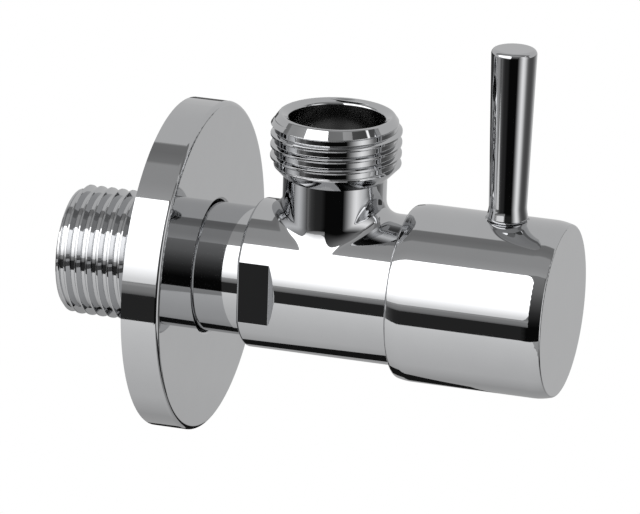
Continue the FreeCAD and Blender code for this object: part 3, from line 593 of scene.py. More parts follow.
@dataclass
class ValveBody:
    """Brass body: inlet thread, neck, barrel with two spanner flats, outlet with its thread."""

    thread_r: float = 10.4775
    inlet_end: float = -17.3
    chamfer: float = 0.8
    inlet_phase: float = -1.77
    inlet_depth: float = 1.0
    inlet_crest: float = 0.25
    relief_r: float = 9.2475
    relief_width: float = 1.9
    neck_r: float = 10.4475
    shoulder: float = 13.8
    barrel_r: float = 12.0975
    barrel_end: float = 41.0
    shoulder_round: float = 0.5
    edge_round: float = 0.4
    flat_y: float = 10.9975
    flat_end: float = 19.2
    flat_run_out: float = 1.2
    flat_root: float = 0.4
    flat_tip: float = 0.8
    flat_soft: float = 0.3
    outlet_x: float = 26.3
    neck_up_r: float = 8.3
    saddle: float = 2.8
    saddle_swell: float = 6.0
    saddle_law: float = 34.0
    saddle_ease: float = 0.33
    runout_z: float = 17.8
    thread_z: float = 20.1
    thread_top: float = 26.25
    rim_z: float = 28.21
    rim_r: float = 9.05
    rim_round: float = 0.5
    outlet_phase: float = 25.417
    lip_slope: float = 28.5
    lip_round: float = 0.5
    lip_joint: Span = (0.4, 0.66)
    mouth_r: float = 7.65
    mouth_z: float = 19.9975
    mouth_cone: float = 1.6
    outlet_bore_r: float = 5.5
    inlet_bore_r: float = 7.5
    inlet_cone: Span = (15.0, 17.5)
    throat_r: float = 5.0
    seat: float = 19.5
    chamber_r: float = 8.2
    chamber_end: float = 33.0
    bonnet_thread_r: float = 9.0
    crown: float = 60.0
    crown_columns: int = 48
    side_columns: int = 12
    flat_columns: int = 16
    soft_columns: int = 4
    belly_columns: int = 36
    flat_places: int = 6
    run_out_places: int = 14
    barrel_places: int = 21
    saddle_steps: int = 14
    crown_rows: int = 12
    skin: Skin = field(default_factory=Skin)

    def __post_init__(self) -> None:
        """Work out the lines that the patches share."""
        self.run: Axis = Axis((1.0, 0.0, 0.0))
        self.rise: Axis = Axis((0.0, 0.0, 1.0), (self.outlet_x, 0.0, 0.0))
        self.crown_turns: np.ndarray = np.linspace(-self.crown, self.crown, self.crown_columns + 1)
        self.straight: Span = (self.shoulder + self.shoulder_round, self.barrel_end - self.edge_round)
        self.lines: np.ndarray = self.barrel_lines()
        places = self.lines[:, 0]
        inside = (places > self.straight[0] - WELD) & (places < self.straight[1] + WELD)
        self.places: np.ndarray = np.unique(places[inside].round(DIGITS))

    def barrel_lines(self) -> np.ndarray:
        """Lines round the barrel.

        Returns:
            Rows of x, radius, the barrel's normal along and away, the flats' distance from the
            axis, and their normal along and away. Beyond the flats both halves are the same.
        """
        tip = self.flat_end + self.flat_run_out
        flat = Profile([
            Corner(self.shoulder, self.neck_r),
            Corner(self.shoulder, self.flat_y, self.shoulder_round),
            Corner(self.flat_end, self.flat_y, self.flat_root),
            Corner(tip, self.barrel_r, self.flat_tip),
            Corner(self.barrel_end, self.barrel_r),
        ])
        round_part = Profile([
            Corner(self.shoulder, self.neck_r),
            Corner(self.shoulder, self.barrel_r, self.shoulder_round),
            Corner(self.barrel_end, self.barrel_r, self.edge_round),
            Corner(self.barrel_end, self.bonnet_thread_r),
        ])
        rear_end, front_start = self.straight
        round_rows = round_part.rows()
        rear = [
            (*row, y, *row[2:]) for row, y in zip(round_rows[1:], flat.radius[1:])
            if row[0] < rear_end + WELD
        ]
        flat_stop = self.flat_end - self.flat_root
        tip_end = flat.along[-2]
        spots = np.unique(np.concatenate((
            np.linspace(rear_end, flat_stop, self.flat_places)[1:],
            flat.along[(flat.along > flat_stop) & (flat.along < front_start)],
            np.linspace(self.flat_end, tip_end, self.run_out_places),
            np.linspace(tip_end, front_start, self.barrel_places)[:-1],
        )).round(DIGITS))
        middle = [
            (x, self.barrel_r, 0.0, 1.0, *(
                np.interp(x, flat.along, values) for values in (flat.radius, flat.lean, flat.out)
            ))
            for x in spots if x > rear_end + WELD
        ]
        front = [
            (*row, *row[1:]) for row in round_rows
            if row[0] > front_start - WELD and row[1] > self.bonnet_thread_r
        ]
        return np.array(rear + middle + front)

    def wall(self, line: np.ndarray) -> tuple[np.ndarray, np.ndarray]:
        """Points and normals on one line round the barrel, below the crown.

        The edges of the flats are rounded, with normals that turn from the barrel's to the
        flat's.

        Args:
            line: one row of the barrel lines.

        Returns:
            Points and normals from the crown's edge at +Y round the belly to the crown's edge
            at -Y.
        """
        x, r, lean, out, y, y_lean, y_out = line
        inner_r, inner_y = r - self.flat_soft, y - self.flat_soft
        edge = math.asin(min(1.0, inner_y / inner_r))
        height = inner_r * math.cos(edge)
        start = np.radians(self.crown)
        side = start + (edge - start) * np.linspace(0, 1, self.side_columns + 1)[:-1]
        share = np.linspace(0, 1, self.soft_columns + 1)
        soft = edge + (math.pi / 2 - edge) * share
        face = np.linspace(height, 0, self.flat_columns // 2 + 1)
        turns = np.concatenate((side, soft, np.full(len(face) - 1, math.pi / 2)))
        blend = np.concatenate((np.zeros(len(side)), share, np.ones(len(face) - 1)))
        away = run_rings(np.degrees(turns))
        on_side = np.arange(len(turns)) < len(side)
        centre = np.where(on_side[:, None], 0.0, np.array((0.0, inner_y, height)))
        reach = np.where(on_side, r, self.flat_soft)
        upper = centre + reach[:, None] * away
        upper[len(side) + len(share):, 2] = face[1:]
        upper[:, 0] = x
        upper_normals = (out + (y_out - out) * blend)[:, None] * away
        upper_normals[:, 0] = lean + (y_lean - lean) * blend
        flip = np.array((1.0, 1.0, -1.0))
        lower, lower_normals = upper[::-1][1:] * flip, upper_normals[::-1][1:] * flip
        at_crown = len(side)
        belly = run_rings(np.degrees(np.linspace(math.pi - edge, math.pi, self.belly_columns + 1)[1:]))
        belly_points = r * belly
        belly_points[:, 0] = x
        belly_normals = out * belly
        belly_normals[:, 0] = lean
        points = np.concatenate((upper, lower[:-at_crown], belly_points))
        normals = np.concatenate((upper_normals, lower_normals[:-at_crown], belly_normals))
        mirror = np.array((1.0, -1.0, 1.0))
        points = np.concatenate((points, points[::-1][1:] * mirror))
        normals = np.concatenate((normals, normals[::-1][1:] * mirror))
        return points, normals

    def barrel(self) -> None:
        """Outer wall of the barrel with its two flats, and the shoulder and front face."""
        rows = [self.wall(line) for line in self.lines]
        self.skin.patch(np.stack([row[0] for row in rows]), np.stack([row[1] for row in rows]))
        crown = run_rings(self.crown_turns)
        ends = (
            self.lines[self.lines[:, 0] <= self.straight[0] + WELD],
            self.lines[self.lines[:, 0] >= self.straight[1] - WELD],
        )
        for lines in ends:
            points = lines[:, :1, None] * FORWARD + lines[:, 1:2, None] * crown
            normals = lines[:, 2:3, None] * FORWARD + lines[:, 3:4, None] * crown
            self.skin.patch(points, normals)

    def loop(self, line: np.ndarray) -> np.ndarray:
        """The whole outline of the barrel at one line, in the order of the ring angles."""
        crown = line[0] * FORWARD + line[1] * run_rings(self.crown_turns)
        return np.concatenate((crown, self.wall(line)[0][1:]))

    def border(self, places: np.ndarray) -> np.ndarray:
        """Border of the crown, starting at the rear at -Y.

        Args:
            places: places along the run, from the rear to the front.

        Returns:
            Rows of a place along the run and an angle from the top.
        """
        low, high = places[0], places[-1]
        turns = self.crown_turns
        return np.concatenate((
            np.stack((places, np.full_like(places, turns[0])), axis=1),
            np.stack((np.full_like(turns, high), turns), axis=1)[1:],
            np.stack((places[::-1], np.full_like(places, turns[-1])), axis=1)[1:],
            np.stack((np.full_like(turns, low), turns[::-1]), axis=1)[1:-1],
        ))

    def crown_patch(
        self, hole: np.ndarray, border: np.ndarray, radius: float, bore: bool = False
    ) -> None:
        """Surface of a cylinder between a hole and the crown's border.

        Args:
            hole: points of the hole on the cylinder.
            border: the crown's border, one row for each point of the hole.
            radius: radius of the cylinder.
            bore: whether it is the wall of a bore.
        """
        inner = np.stack((hole[:, 0], np.degrees(np.arctan2(hole[:, 1], hole[:, 2]))), axis=1)
        part = np.linspace(0, 1, self.crown_rows + 1)[:, None, None]
        grid = inner + part * (border - inner)
        rings = run_rings(grid[..., 1])
        points = radius * rings
        points[..., 0] = grid[..., 0]
        self.skin.patch(points, -rings if bore else rings, closed=True, bore=float(bore))

    def outlet_turns(self, border: np.ndarray, radius: float) -> np.ndarray:
        """Angles round the outlet that meet the border of the crown.

        Args:
            border: rows of a place along the run and an angle from the top.
            radius: radius of the cylinder that the border is on.

        Returns:
            The angles in radians, rising.
        """
        side = np.radians(border[:, 1]) * radius
        turns = np.arctan2(side, border[:, 0] - self.outlet_x)
        return np.where(turns < turns[0] - WELD, turns + math.tau, turns)

    def saddle_at(self, turns: np.ndarray, share: float) -> np.ndarray:
        """Points of the blend between the outlet's neck and the barrel.

        Its radius is smallest along the run and swells towards -Y and +Y.

        Args:
            turns: angles round the outlet in radians.
            share: share of the way from the neck to the barrel.

        Returns:
            The points.
        """
        soft = self.saddle + self.saddle_swell * np.abs(np.sin(turns)) ** self.saddle_law
        reach = self.barrel_r + soft
        out = self.neck_up_r + soft
        side = out * np.sin(turns)
        centre = np.stack(
            (self.outlet_x + out * np.cos(turns), side, np.sqrt(reach**2 - side**2)), axis=-1
        )
        to_neck = -rise_rings(turns)
        to_barrel = -centre / reach[:, None]
        to_barrel[:, 0] = 0.0
        wide = np.arccos(np.clip((to_neck * to_barrel).sum(axis=1), -1, 1))[:, None]
        pull = self.saddle_ease * soft[:, None] * np.tan(wide / 2) / np.sin(wide)
        at_neck, at_barrel = centre + soft[:, None] * to_neck, centre + soft[:, None] * to_barrel
        leave = pull * (to_barrel - np.cos(wide) * to_neck)
        arrive = pull * (to_neck - np.cos(wide) * to_barrel)
        ease = SADDLE_DEGREE / (SADDLE_DEGREE - 1)
        bend = ease * (arrive[:, 1:] ** 2).sum(axis=1, keepdims=True) / self.barrel_r
        knots = (
            at_neck, at_neck + leave, at_neck + 2 * leave,
            at_barrel + 2 * arrive + bend * to_barrel, at_barrel + arrive, at_barrel,
        )
        return sum(
            math.comb(SADDLE_DEGREE, k) * share**k * (1 - share) ** (SADDLE_DEGREE - k) * knot
            for k, knot in enumerate(knots)
        )

    def saddle_grid(self, turns: np.ndarray) -> tuple[np.ndarray, np.ndarray]:
        """Rows of the blend from the neck to the barrel.

        Args:
            turns: angles round the outlet in radians.

        Returns:
            Points and normals.
        """
        shares = np.linspace(0, 1, self.saddle_steps + 1)
        points = np.stack([self.saddle_at(turns, share) for share in shares])
        round_way = np.stack([
            self.saddle_at(turns + STEP, share) - self.saddle_at(turns - STEP, share) for share in shares
        ])
        down_way = np.stack([
            self.saddle_at(turns, share + STEP) - self.saddle_at(turns, share - STEP) for share in shares
        ])
        return points, unit(np.cross(down_way, round_way))

    def outlet(self) -> None:
        """Saddle, neck, thread, rim and mouth of the outlet."""
        border = self.border(self.places)
        turns = self.outlet_turns(border, self.barrel_r)
        points, normals = self.saddle_grid(turns)
        self.skin.patch(points, normals, closed=True)
        self.crown_patch(points[-1], border, self.barrel_r)
        self.upright(points[0], self.runout_z, rise_rings(turns))
        self.outlet_thread(turns)
        self.mouth(rise_rings(turns))

    def upright(self, foot: np.ndarray, top: float, normals: np.ndarray, bore: float = 0.0) -> None:
        """Upright wall from a closed line of points to a level.

        Args:
            foot: points of the line.
            top: height of the level.
            normals: one for each point.
            bore: 1 for the inside, which is duller and painted darker as shade.
        """
        head = foot.copy()
        head[:, 2] = top
        self.skin.patch(np.stack((foot, head)), np.stack((normals, normals)), closed=True, bore=bore)

    def lip_corner(self, share: float, rounding: float = 0.0) -> Corner:
        """Corner on the sloped lip.

        Args:
            share: share of the way from the rim to the mouth.
            rounding: rounding of the corner.

        Returns:
            The corner.
        """
        inward = (self.rim_r - self.mouth_r) * share
        fall = math.tan(math.radians(self.lip_slope)) * inward
        return Corner(self.rim_z - fall, self.rim_r - inward, rounding)

    def outlet_thread(self, turns: np.ndarray) -> None:
        """Run-out cone, rim and thread of the outlet.

        Args:
            turns: angles of the columns round the outlet in radians.
        """
        rings = rise_rings(turns)
        root = self.thread_r - PipeThread.depth
        low_grade = (self.thread_r - self.neck_up_r) / (self.thread_z - self.runout_z)
        high_grade = (self.rim_r - self.thread_r) / (self.rim_z - self.thread_top)
        low = self.runout_z + (root - self.neck_up_r) / low_grade
        high = self.rim_z + (root - self.rim_r) / high_grade
        cone = Profile([Corner(self.runout_z, self.neck_up_r), Corner(low, root)])
        self.rise.revolve(self.skin, cone, rings)
        self.rise.revolve(self.skin, Profile([
            Corner(high, root), Corner(self.rim_z, self.rim_r, self.rim_round),
            self.lip_corner(self.lip_joint[0]),
        ]), rings)
        thread = PipeThread(
            self.thread_r, low, high, self.outlet_phase,
            cones=((self.runout_z, self.neck_up_r, low_grade), (self.rim_z, self.rim_r, high_grade)),
        )
        around = np.append(turns, turns[0] + math.tau)
        thread.cut(self.skin, self.rise, rise_rings(around), around)

    def mouth(self, rings: np.ndarray) -> None:
        """Water way, lip and mouth of the outlet.

        Args:
            rings: the columns of the rim, which end on the lip.
        """
        border = self.border(np.linspace(self.seat, self.chamber_end, len(self.places)))
        bore_rings = rise_rings(self.outlet_turns(border, self.chamber_r))
        hole = self.outlet_bore_r * bore_rings + self.outlet_x * FORWARD
        hole[:, 2] = np.sqrt(self.chamber_r**2 - hole[:, 1] ** 2)
        self.crown_patch(hole, border, self.chamber_r, bore=True)
        cone_foot = self.mouth_z - self.mouth_cone
        self.upright(hole, cone_foot, -bore_rings, bore=1.0)
        joint = [self.lip_corner(share) for share in self.lip_joint]
        lip = Profile([
            joint[1], self.lip_corner(1.0, self.lip_round), Corner(self.mouth_z, self.mouth_r),
        ])
        # The upright wall below the rounding belongs to the mouth, which is duller and painted darker as
        # shade.
        lip.drop_last()
        self.rise.revolve(self.skin, lip, bore_rings)
        self.rise.revolve(self.skin, Profile(joint), np.stack((rings, bore_rings)))
        self.rise.revolve(self.skin, Profile([
            Corner(lip.along[-1], self.mouth_r), Corner(self.mouth_z, self.mouth_r),
            Corner(cone_foot, self.outlet_bore_r),
        ]), bore_rings, bore=1.0)

    def inlet(self) -> None:
        """Inlet thread, run-out groove, neck, shoulder and inlet bore."""
        outline = self.loop(self.lines[0])
        rings = run_rings(np.degrees(np.arctan2(outline[:, 1], outline[:, 2])))
        around = np.unwrap(np.arctan2(outline[:, 2], outline[:, 1]))
        self.run.revolve(self.skin, Profile([
            Corner(0.0, self.relief_r), Corner(self.relief_width, self.relief_r),
            Corner(self.relief_width, self.neck_r), Corner(self.shoulder, self.neck_r),
        ]), rings)
        self.skin.strip(self.shoulder * FORWARD + self.neck_r * rings, outline, -FORWARD)
        thread = PipeThread(
            self.thread_r, self.inlet_end, 0.0, self.inlet_phase,
            cones=((self.inlet_end, self.thread_r - self.chamfer, 1.0),),
            depth=self.inlet_depth, crest=self.inlet_crest,
        )
        thread.cut(self.skin, self.run, rings, around)
        self.skin.strip(thread.rim(self.run, rings, around, 0.0), self.relief_r * rings, FORWARD)
        self.skin.strip(
            thread.rim(self.run, rings, around, self.inlet_end),
            self.inlet_end * FORWARD + self.inlet_bore_r * rings, -FORWARD,
        )
        self.run.revolve(self.skin, Profile([
            Corner(self.seat, self.throat_r), Corner(self.inlet_cone[1], self.throat_r),
            Corner(self.inlet_cone[0], self.inlet_bore_r), Corner(self.inlet_end, self.inlet_bore_r),
        ]), rings, bore=1.0)
        self.front(rings)

    def front(self, rear_rings: np.ndarray) -> None:
        """Seat, chamber, bonnet thread and front face of the barrel.

        Args:
            rear_rings: the columns of the inlet, which end at the seat.
        """
        last = self.loop(self.lines[-1])
        rings = run_rings(np.degrees(np.arctan2(last[:, 1], last[:, 2])))
        seat = self.seat * FORWARD
        self.skin.strip(seat + self.throat_r * rear_rings, seat + self.chamber_r * rings, FORWARD)
        below = rings[self.crown_columns:]
        spots = np.linspace(self.seat, self.chamber_end, len(self.places))
        points = spots[:, None, None] * FORWARD + self.chamber_r * below
        self.skin.patch(points, np.broadcast_to(-below, points.shape), bore=1.0)
        self.run.revolve(self.skin, Profile([
            Corner(self.barrel_end, self.bonnet_thread_r), Corner(self.chamber_end, self.bonnet_thread_r),
            Corner(self.chamber_end, self.chamber_r),
        ]), rings, bore=1.0)
        self.skin.strip(last, self.barrel_end * FORWARD + self.bonnet_thread_r * rings, FORWARD)

    def build(self) -> bpy.types.Object:
        """Make the body and put it in the scene.

        Returns:
            The body.
        """
        self.barrel()
        self.outlet()
        self.inlet()
        return make_piece("body_shell", self.skin, Body.VALVE, Slot.CHROME, "valve_body")


@dataclass
class Lever:
    """Slender lever that widens towards its free end and has a soft round foot."""

    axis_x: float = 54.92
    foot: float = 13.9475
    top: float = 42.0975
    hole_r: float = 2.0
    hole_top: float = 21.2975
    foot_r: float = 3.4
    foot_round: float = 0.55
    foot_height: float = 2.0
    foot_bow: float = 5.0
    base_r: float = 3.02
    top_r: float = 3.64
    top_round: float = 0.8
    columns: int = 96
    steps: int = 12
    skin: Skin = field(default_factory=Skin)

    def build(self) -> bpy.types.Object:
        """Make the lever and put it in the scene.

        Returns:
            The lever.
        """
        rings = rise_rings(np.linspace(0, math.tau, self.columns + 1)[:-1])
        axis = Axis((0.0, 0.0, 1.0), (self.axis_x, 0.0, 0.0))
        axis.revolve(self.skin, Profile([
            Corner(self.foot, self.hole_r), Corner(self.foot, self.foot_r, self.foot_round),
            Corner(self.foot + self.foot_height, self.base_r, self.foot_bow),
            Corner(self.top, self.top_r, self.top_round), Corner(self.top, 0.0),
        ], self.steps), rings)
        axis.revolve(self.skin, Profile([
            Corner(self.hole_top + self.hole_r, 0.0), Corner(self.hole_top, self.hole_r),
            Corner(self.foot, self.hole_r),
        ]), rings, bore=1.0)
        return make_piece("lever_shell", self.skin, Body.HANDLE, Slot.CHROME, "lever_rod")


@dataclass
class Fittings:
    """Pieces whose construction shape is shown as it is, each with its finish."""

    names: dict[Slot, tuple[str, ...]] = field(default_factory=lambda: {
        Slot.CHROME: ("wall_rosette",),
        Slot.CHROME_ZINC: ("handle",),
        Slot.RAW_BRASS: ("bonnet", "spindle", "seat_seal_support_ring"),
        Slot.RUBBER: (
            "seat_seal", "rosette_grip_ring", "spindle_o_ring_inner", "spindle_o_ring_outer",
        ),
        Slot.CERAMIC: ("ceramic_disc_fixed", "ceramic_disc_moving"),
        Slot.FIBRE: ("bonnet_washer",),
        Slot.SLIP_PLASTIC: ("thrust_washer",),
        Slot.ADAPTER_PLASTIC: ("spline_adapter",),
        Slot.STEEL: ("spindle_circlip", "adapter_screw", "handle_grub_screw", "lever_stud"),
    })

    def build(self) -> None:
        """Give every one of these nodes its material."""
        for slot, names in self.names.items():
            finish = FINISHES[slot]
            for name in names:
                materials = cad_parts[name].data.materials
                materials.clear()
                materials.append(finish.material())
                log.info("%s: %s", name, finish.name)


@dataclass(frozen=True)
class Card:
    """A plain card of the studio that shows only in reflections.

    Attributes:
        name: name of the card.
        corners: its four corners in metres; the brightness runs from the first edge to the third.
        ramp: places from 0 to 1 across the card, and the brightness there.
        rounding: width and height of its rounded corners.
    """

    name: str
    corners: tuple[Spot, ...]
    ramp: Ramp
    rounding: Span = (0.0, 0.0)

    def material(self) -> bpy.types.Material:
        """Emission that follows the ramp.

        Returns:
            The material of the card.
        """
        material = bpy.data.materials.new(self.name)
        material.use_nodes = True
        tree = material.node_tree
        tree.nodes.clear()
        place = add_node(tree, "TexCoord", {})
        split = add_node(tree, "SeparateXYZ", {"Vector": place.outputs["UV"]})
        curve = add_node(tree, "FloatCurve", {"Value": split.outputs["Y"]})
        top = max(value for spot, value in self.ramp)
        points = curve.mapping.curves[0].points
        while len(points) < len(self.ramp):
            points.new(0.5, 0.5)
        for point, (spot, value) in zip(points, self.ramp):
            point.location = (spot, value / top)
            point.handle_type = "VECTOR"
        curve.mapping.update()
        scale = add_node(tree, "Math", {0: curve.outputs["Value"], 1: top}, operation="MULTIPLY")
        light = add_node(tree, "Emission", {"Strength": scale.outputs["Value"]})
        add_node(tree, "OutputMaterial", {"Surface": light.outputs["Emission"]})
        return material

    def outline(self, width: float, height: float, steps: int = 12) -> np.ndarray:
        """Outline of the card with its rounded corners.

        Args:
            width: length of the first edge.
            height: length of the next edge.
            steps: stretches of one rounded corner.

        Returns:
            Places from 0 to 1 along both edges.
        """
        if not any(self.rounding):
            return np.array(((0, 0), (1, 0), (1, 1), (0, 1)), dtype=float)
        turns = np.linspace(0, math.pi / 2, steps + 1)
        bend = np.stack((np.cos(turns), np.sin(turns)), axis=1)
        share = np.array(self.rounding) / (width, height)
        spots = []
        for quarter, way in enumerate(((1, 1), (-1, 1), (-1, -1), (1, -1))):
            arc = bend[::-1] if quarter % 2 else bend
            spots.append(0.5 + np.array(way) * (0.5 - share + share * arc))
        return np.concatenate(spots)

    def build(self) -> bpy.types.Object:
        """Make the card.

        Returns:
            The object, which the camera, diffuse rays and shadows don't see.
        """
        start, across, _, along = (np.array(corner) for corner in self.corners)
        across, along = across - start, along - start
        spots = self.outline(np.linalg.norm(across), np.linalg.norm(along))
        mesh = bpy.data.meshes.new(self.name)
        mesh.from_pydata((start + spots @ np.stack((across, along))).tolist(), [], [range(len(spots))])
        layer = mesh.uv_layers.new(name="UVMap")
        for spot, value in zip(layer.data, spots):
            spot.uv = value
        mesh.materials.append(self.material())
        card = bpy.data.objects.new(self.name, mesh)
        bpy.context.scene.collection.objects.link(card)
        card.visible_camera = False
        card.visible_diffuse = False
        card.visible_shadow = False
        return card


def along_chord(ramp: Ramp) -> Ramp:
    """Turn the angles of a ramp into places on the straight line from the first to the last.

    Args:
        ramp: angles in degrees, and the brightness there.

    Returns:
        Places from 0 to 1, and the brightness there.
    """
    first, last = math.radians(ramp[0][0]), math.radians(ramp[-1][0])
    spots = []
    for angle, value in ramp:
        turn = math.radians(angle)
        before, behind = math.sin(turn - first), math.sin(last - turn)
        spots.append((before / (before + behind), value))
    return tuple(spots)


def even(value: float) -> Ramp:
    """The same brightness all over a card."""
    return ((0.0, value), (1.0, value))


@dataclass
class Studio:
    """Pale floor, soft light, and the cards that the polished surfaces mirror.

    Attributes:
        world: brightness of the surroundings.
        floor_z: height of the floor.
        floor_half: half of its width.
        floor_light: its brightness.
        table_z: height of the card that stands for the table.
        strip_z: height of the strips on it.
        strip_y: ends of these strips along Y.
        under_z: height of the dark cards close below the valve.
        under_light: their brightness.
    """

    world: float = 0.62
    floor_z: float = -0.2
    floor_half: float = 4.0
    floor_light: float = 1.0
    table_z: float = -0.3
    strip_z: float = -0.295
    strip_y: Span = (-0.64, 0.25)
    under_z: float = -0.037
    under_light: float = 0.01

    def across(
        self, name: str, ends: Span, distance: float, ramp: Ramp, rounding: Span = (0.0, 0.0)
    ) -> Card:
        """A card along X whose brightness is given by angles above the front.

        Args:
            name: name of the card.
            ends: places of its two ends along X.
            distance: how far its long edges are from the valve's axis.
            ramp: angles from the lower edge to the upper edge, 0 in front and 90 overhead, and
                the brightness there.
            rounding: width and height of its rounded corners.

        Returns:
            The card.
        """
        turns = (math.radians(angle) for angle in (ramp[0][0], ramp[-1][0]))
        low, high = ((-distance * math.cos(turn), distance * math.sin(turn)) for turn in turns)
        corners = ((ends[0], *low), (ends[1], *low), (ends[1], *high), (ends[0], *high))
        return Card(name, corners, along_chord(ramp), rounding)

    def around(self, name: str, heights: Span, distance: float, ramp: Ramp) -> Card:
        """An upright card whose brightness is given by angles from the front towards +X.

        Args:
            name: name of the card.
            heights: its lower and upper edge.
            distance: how far its upright edges are from the valve's axis.
            ramp: angles from one upright edge to the other, and the brightness there.

        Returns:
            The card.
        """
        turns = (math.radians(angle) for angle in (ramp[0][0], ramp[-1][0]))
        first, last = ((distance * math.sin(turn), -distance * math.cos(turn)) for turn in turns)
        low, high = heights
        return Card(name, ((*first, low), (*first, high), (*last, high), (*last, low)), along_chord(ramp))

    def level(self, name: str, x: Span, y: Span, z: float, ramp: Ramp) -> Card:
        """A level card whose brightness runs along Y."""
        return Card(name, ((x[0], y[0], z), (x[1], y[0], z), (x[1], y[1], z), (x[0], y[1], z)), ramp)

    def under(self, name: str, rear: Spot, front: Spot) -> Card:
        """A dark card close below the valve.

        Args:
            name: name of the card.
            rear: place of its rear edge along X, and the edge's ends along Y.
            front: the same for its front edge.

        Returns:
            The card.
        """
        spots = ((rear[0], rear[1]), (front[0], front[1]), (front[0], front[2]), (rear[0], rear[2]))
        return Card(name, tuple((*spot, self.under_z) for spot in spots), even(self.under_light))

    def cards(self) -> list[Card]:
        """All cards of the studio.

        Returns:
            The cards, from the large soft light in front to the dark ones below the valve.
        """
        return [
            self.across("softbox", (-1.9, 0.05), 1.0, (
                (0.3, 0.6), (1.0, 0.84), (2.0, 1.0), (4.2, 1.08), (8.3, 1.42), (14.6, 1.9),
                (30.0, 2.4), (59.5, 2.6),
            ), rounding=(0.35, 0.2)),
            self.across("softbox_foot", (-1.9, 0.05), 1.01, (
                (-9.5, 0.02), (-8.3, 0.03), (-7.3, 0.11), (-6.2, 0.18), (-4.2, 0.27), (-1.2, 0.31),
                (0.0, 0.42), (2.0, 0.3), (14.0, 0.08),
            )),
            self.across("ceiling", (-3.0, 3.0), 1.05, (
                (59.5, 0.48), (66.0, 0.43), (72.0, 0.4), (86.5, 0.4), (88.5, 0.26), (97.0, 0.22),
                (104.5, 0.23), (106.0, 0.45),
            )),
            self.around("flank", (0.72, 2.2), 1.3, (
                (3.0, 0.28), (30.0, 0.2), (56.0, 0.1), (87.0, 0.08), (88.5, 1.6), (91.5, 1.6),
                (93.0, 0.1), (106.0, 0.1), (115.0, 0.4),
            )),
            self.around("window", (-0.6, 0.75), 1.1, (
                (38.0, 0.02), (42.0, 0.1), (47.0, 0.28), (55.0, 0.65), (61.0, 1.0), (67.0, 1.2),
                (73.0, 1.05), (79.0, 0.8), (85.0, 0.45), (91.0, 0.22), (97.0, 0.13),
            )),
            self.around("dark_gap", (-0.75, -0.11), 1.25, (
                (-46.0, 0.2), (-34.0, 0.06), (-24.0, 0.03), (-10.0, 0.025), (0.0, 0.004),
                (38.0, 0.004),
            )),
            self.across("wall_right", (-0.35, 0.98), 1.25, (
                (-9.5, 0.0), (0.0, 0.012), (12.0, 0.04), (25.0, 0.1), (40.0, 0.2), (59.5, 0.27),
            )),
            self.level("table_edge", (0.3, 0.5), self.strip_y, self.strip_z, even(0.02)),
            self.level("table_right", (0.17, 0.3), self.strip_y, self.strip_z, ((0, 0.45), (1, 0.3))),
            self.around("far_right", (-0.75, 0.0), 1.15, (
                (96.0, 0.15), (105.0, 0.1), (121.0, 0.1), (133.0, 0.17), (145.0, 0.32), (157.0, 0.5),
            )),
            self.around("low_left", (-0.75, -0.2), 1.2, (
                (-95.0, 0.4), (-82.0, 0.33), (-74.0, 0.28), (-65.0, 0.43), (-57.0, 0.3),
                (-50.0, 0.12), (-41.0, 0.17), (-34.0, 0.15),
            )),
            self.around("far_left", (-0.75, 0.0), 1.15, (
                (-165.0, 0.12), (-130.0, 0.05), (-110.0, 0.03), (-96.0, 0.08),
            )),
            self.level("table", (-0.7, 0.5), (-0.64, 1.2), self.table_z, (
                (0, 0.88), (0.2, 0.75), (0.34, 0.62), (0.42, 0.42), (0.6, 0.4), (0.75, 0.58), (1, 0.6),
            )),
            self.under("under_body", (-0.012, 0.006, 0.022), (0.031, -0.002, 0.026)),
            self.under("under_handle", (0.031, -0.002, 0.022), (0.0437, 0.0135, 0.0145)),
        ]

    def build(self) -> None:
        """Make the cards, the world and the floor."""
        cards = self.cards()
        for card in cards:
            card.build()
        world = bpy.data.worlds.new("studio")
        world.use_nodes = True
        world.node_tree.nodes["Background"].inputs["Color"].default_value = (self.world,) * 3 + (1.0,)
        bpy.context.scene.world = world
        reach = (-self.floor_half, self.floor_half)
        floor = self.level("floor", reach, reach, self.floor_z, even(self.floor_light)).build()
        floor.visible_camera = True
        floor.visible_diffuse = True
        floor.visible_glossy = False
        bpy.context.scene.view_settings.view_transform = "Standard"
        log.info("studio: %d cards and a floor", len(cards))


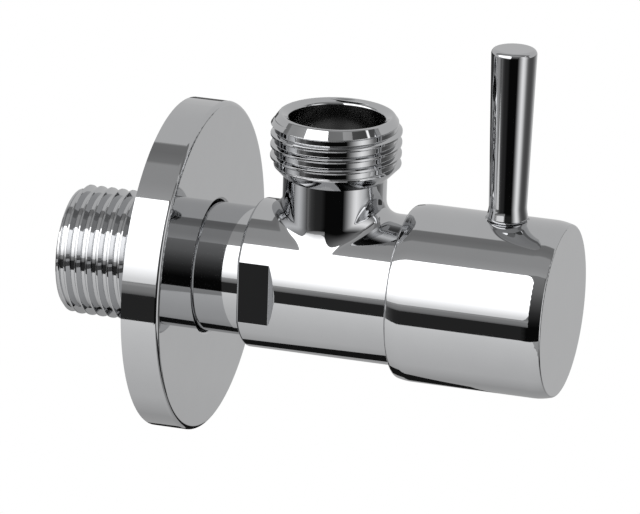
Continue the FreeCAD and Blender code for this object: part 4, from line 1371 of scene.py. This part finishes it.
@dataclass
class PhotoCamera:
    """Camera that stands where the photographer stood.

    Attributes:
        azimuth: angle from the front towards +X.
        elevation: angle above the valve.
        roll: turn about the line of sight.
        distance: from the camera to the target in metres.
        target: place in the middle of the picture.
        focal_pixels: distance of the picture from the lens, in pixels of the photograph.
        photo_width: width of the photograph in pixels.
        sensor: width of the sensor in millimetres.
        clip: nearest and farthest distance that is shown.
    """

    azimuth: float = 17.25
    elevation: float = 18.41
    roll: float = 1.77
    distance: float = 0.85766
    target: Spot = (0.02418, 0.0, 0.0038)
    focal_pixels: float = 5360.84
    photo_width: int = 640
    sensor: float = 36.0
    clip: Span = (0.01, 50.0)

    def build(self) -> bpy.types.Object:
        """Make the camera and put it in use.

        Returns:
            The camera.
        """
        turn, tilt, roll = (math.radians(v) for v in (self.azimuth, self.elevation, self.roll))
        back = Vector((
            math.sin(turn) * math.cos(tilt), -math.cos(turn) * math.cos(tilt), math.sin(tilt)
        ))
        right = (-back).cross(Vector((0, 0, 1))).normalized()
        up = right.cross(-back)
        side = math.cos(roll) * right + math.sin(roll) * up
        top = -math.sin(roll) * right + math.cos(roll) * up
        place = Vector(self.target) + back * self.distance
        camera = bpy.data.objects.new("camera", bpy.data.cameras.new("camera"))
        bpy.context.scene.collection.objects.link(camera)
        camera.matrix_world = Matrix((
            (side.x, top.x, back.x, place.x),
            (side.y, top.y, back.y, place.y),
            (side.z, top.z, back.z, place.z),
            (0, 0, 0, 1),
        ))
        camera.data.sensor_width = self.sensor
        camera.data.lens = self.focal_pixels / self.photo_width * self.sensor
        camera.data.clip_start, camera.data.clip_end = self.clip
        bpy.context.scene.camera = camera
        log.info("camera: %.1f mm lens", camera.data.lens)
        return camera


def main() -> None:
    """Build the pieces in order, then the studio and the camera; the steps log the face counts and the
    lens.
    """
    logging.basicConfig(level=logging.INFO, format="%(message)s")
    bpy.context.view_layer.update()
    ValveBody().build()
    Lever().build()
    Fittings().build()
    Studio().build()
    PhotoCamera().build()
    bpy.context.view_layer.update()


if __name__ == "__main__":
    main()
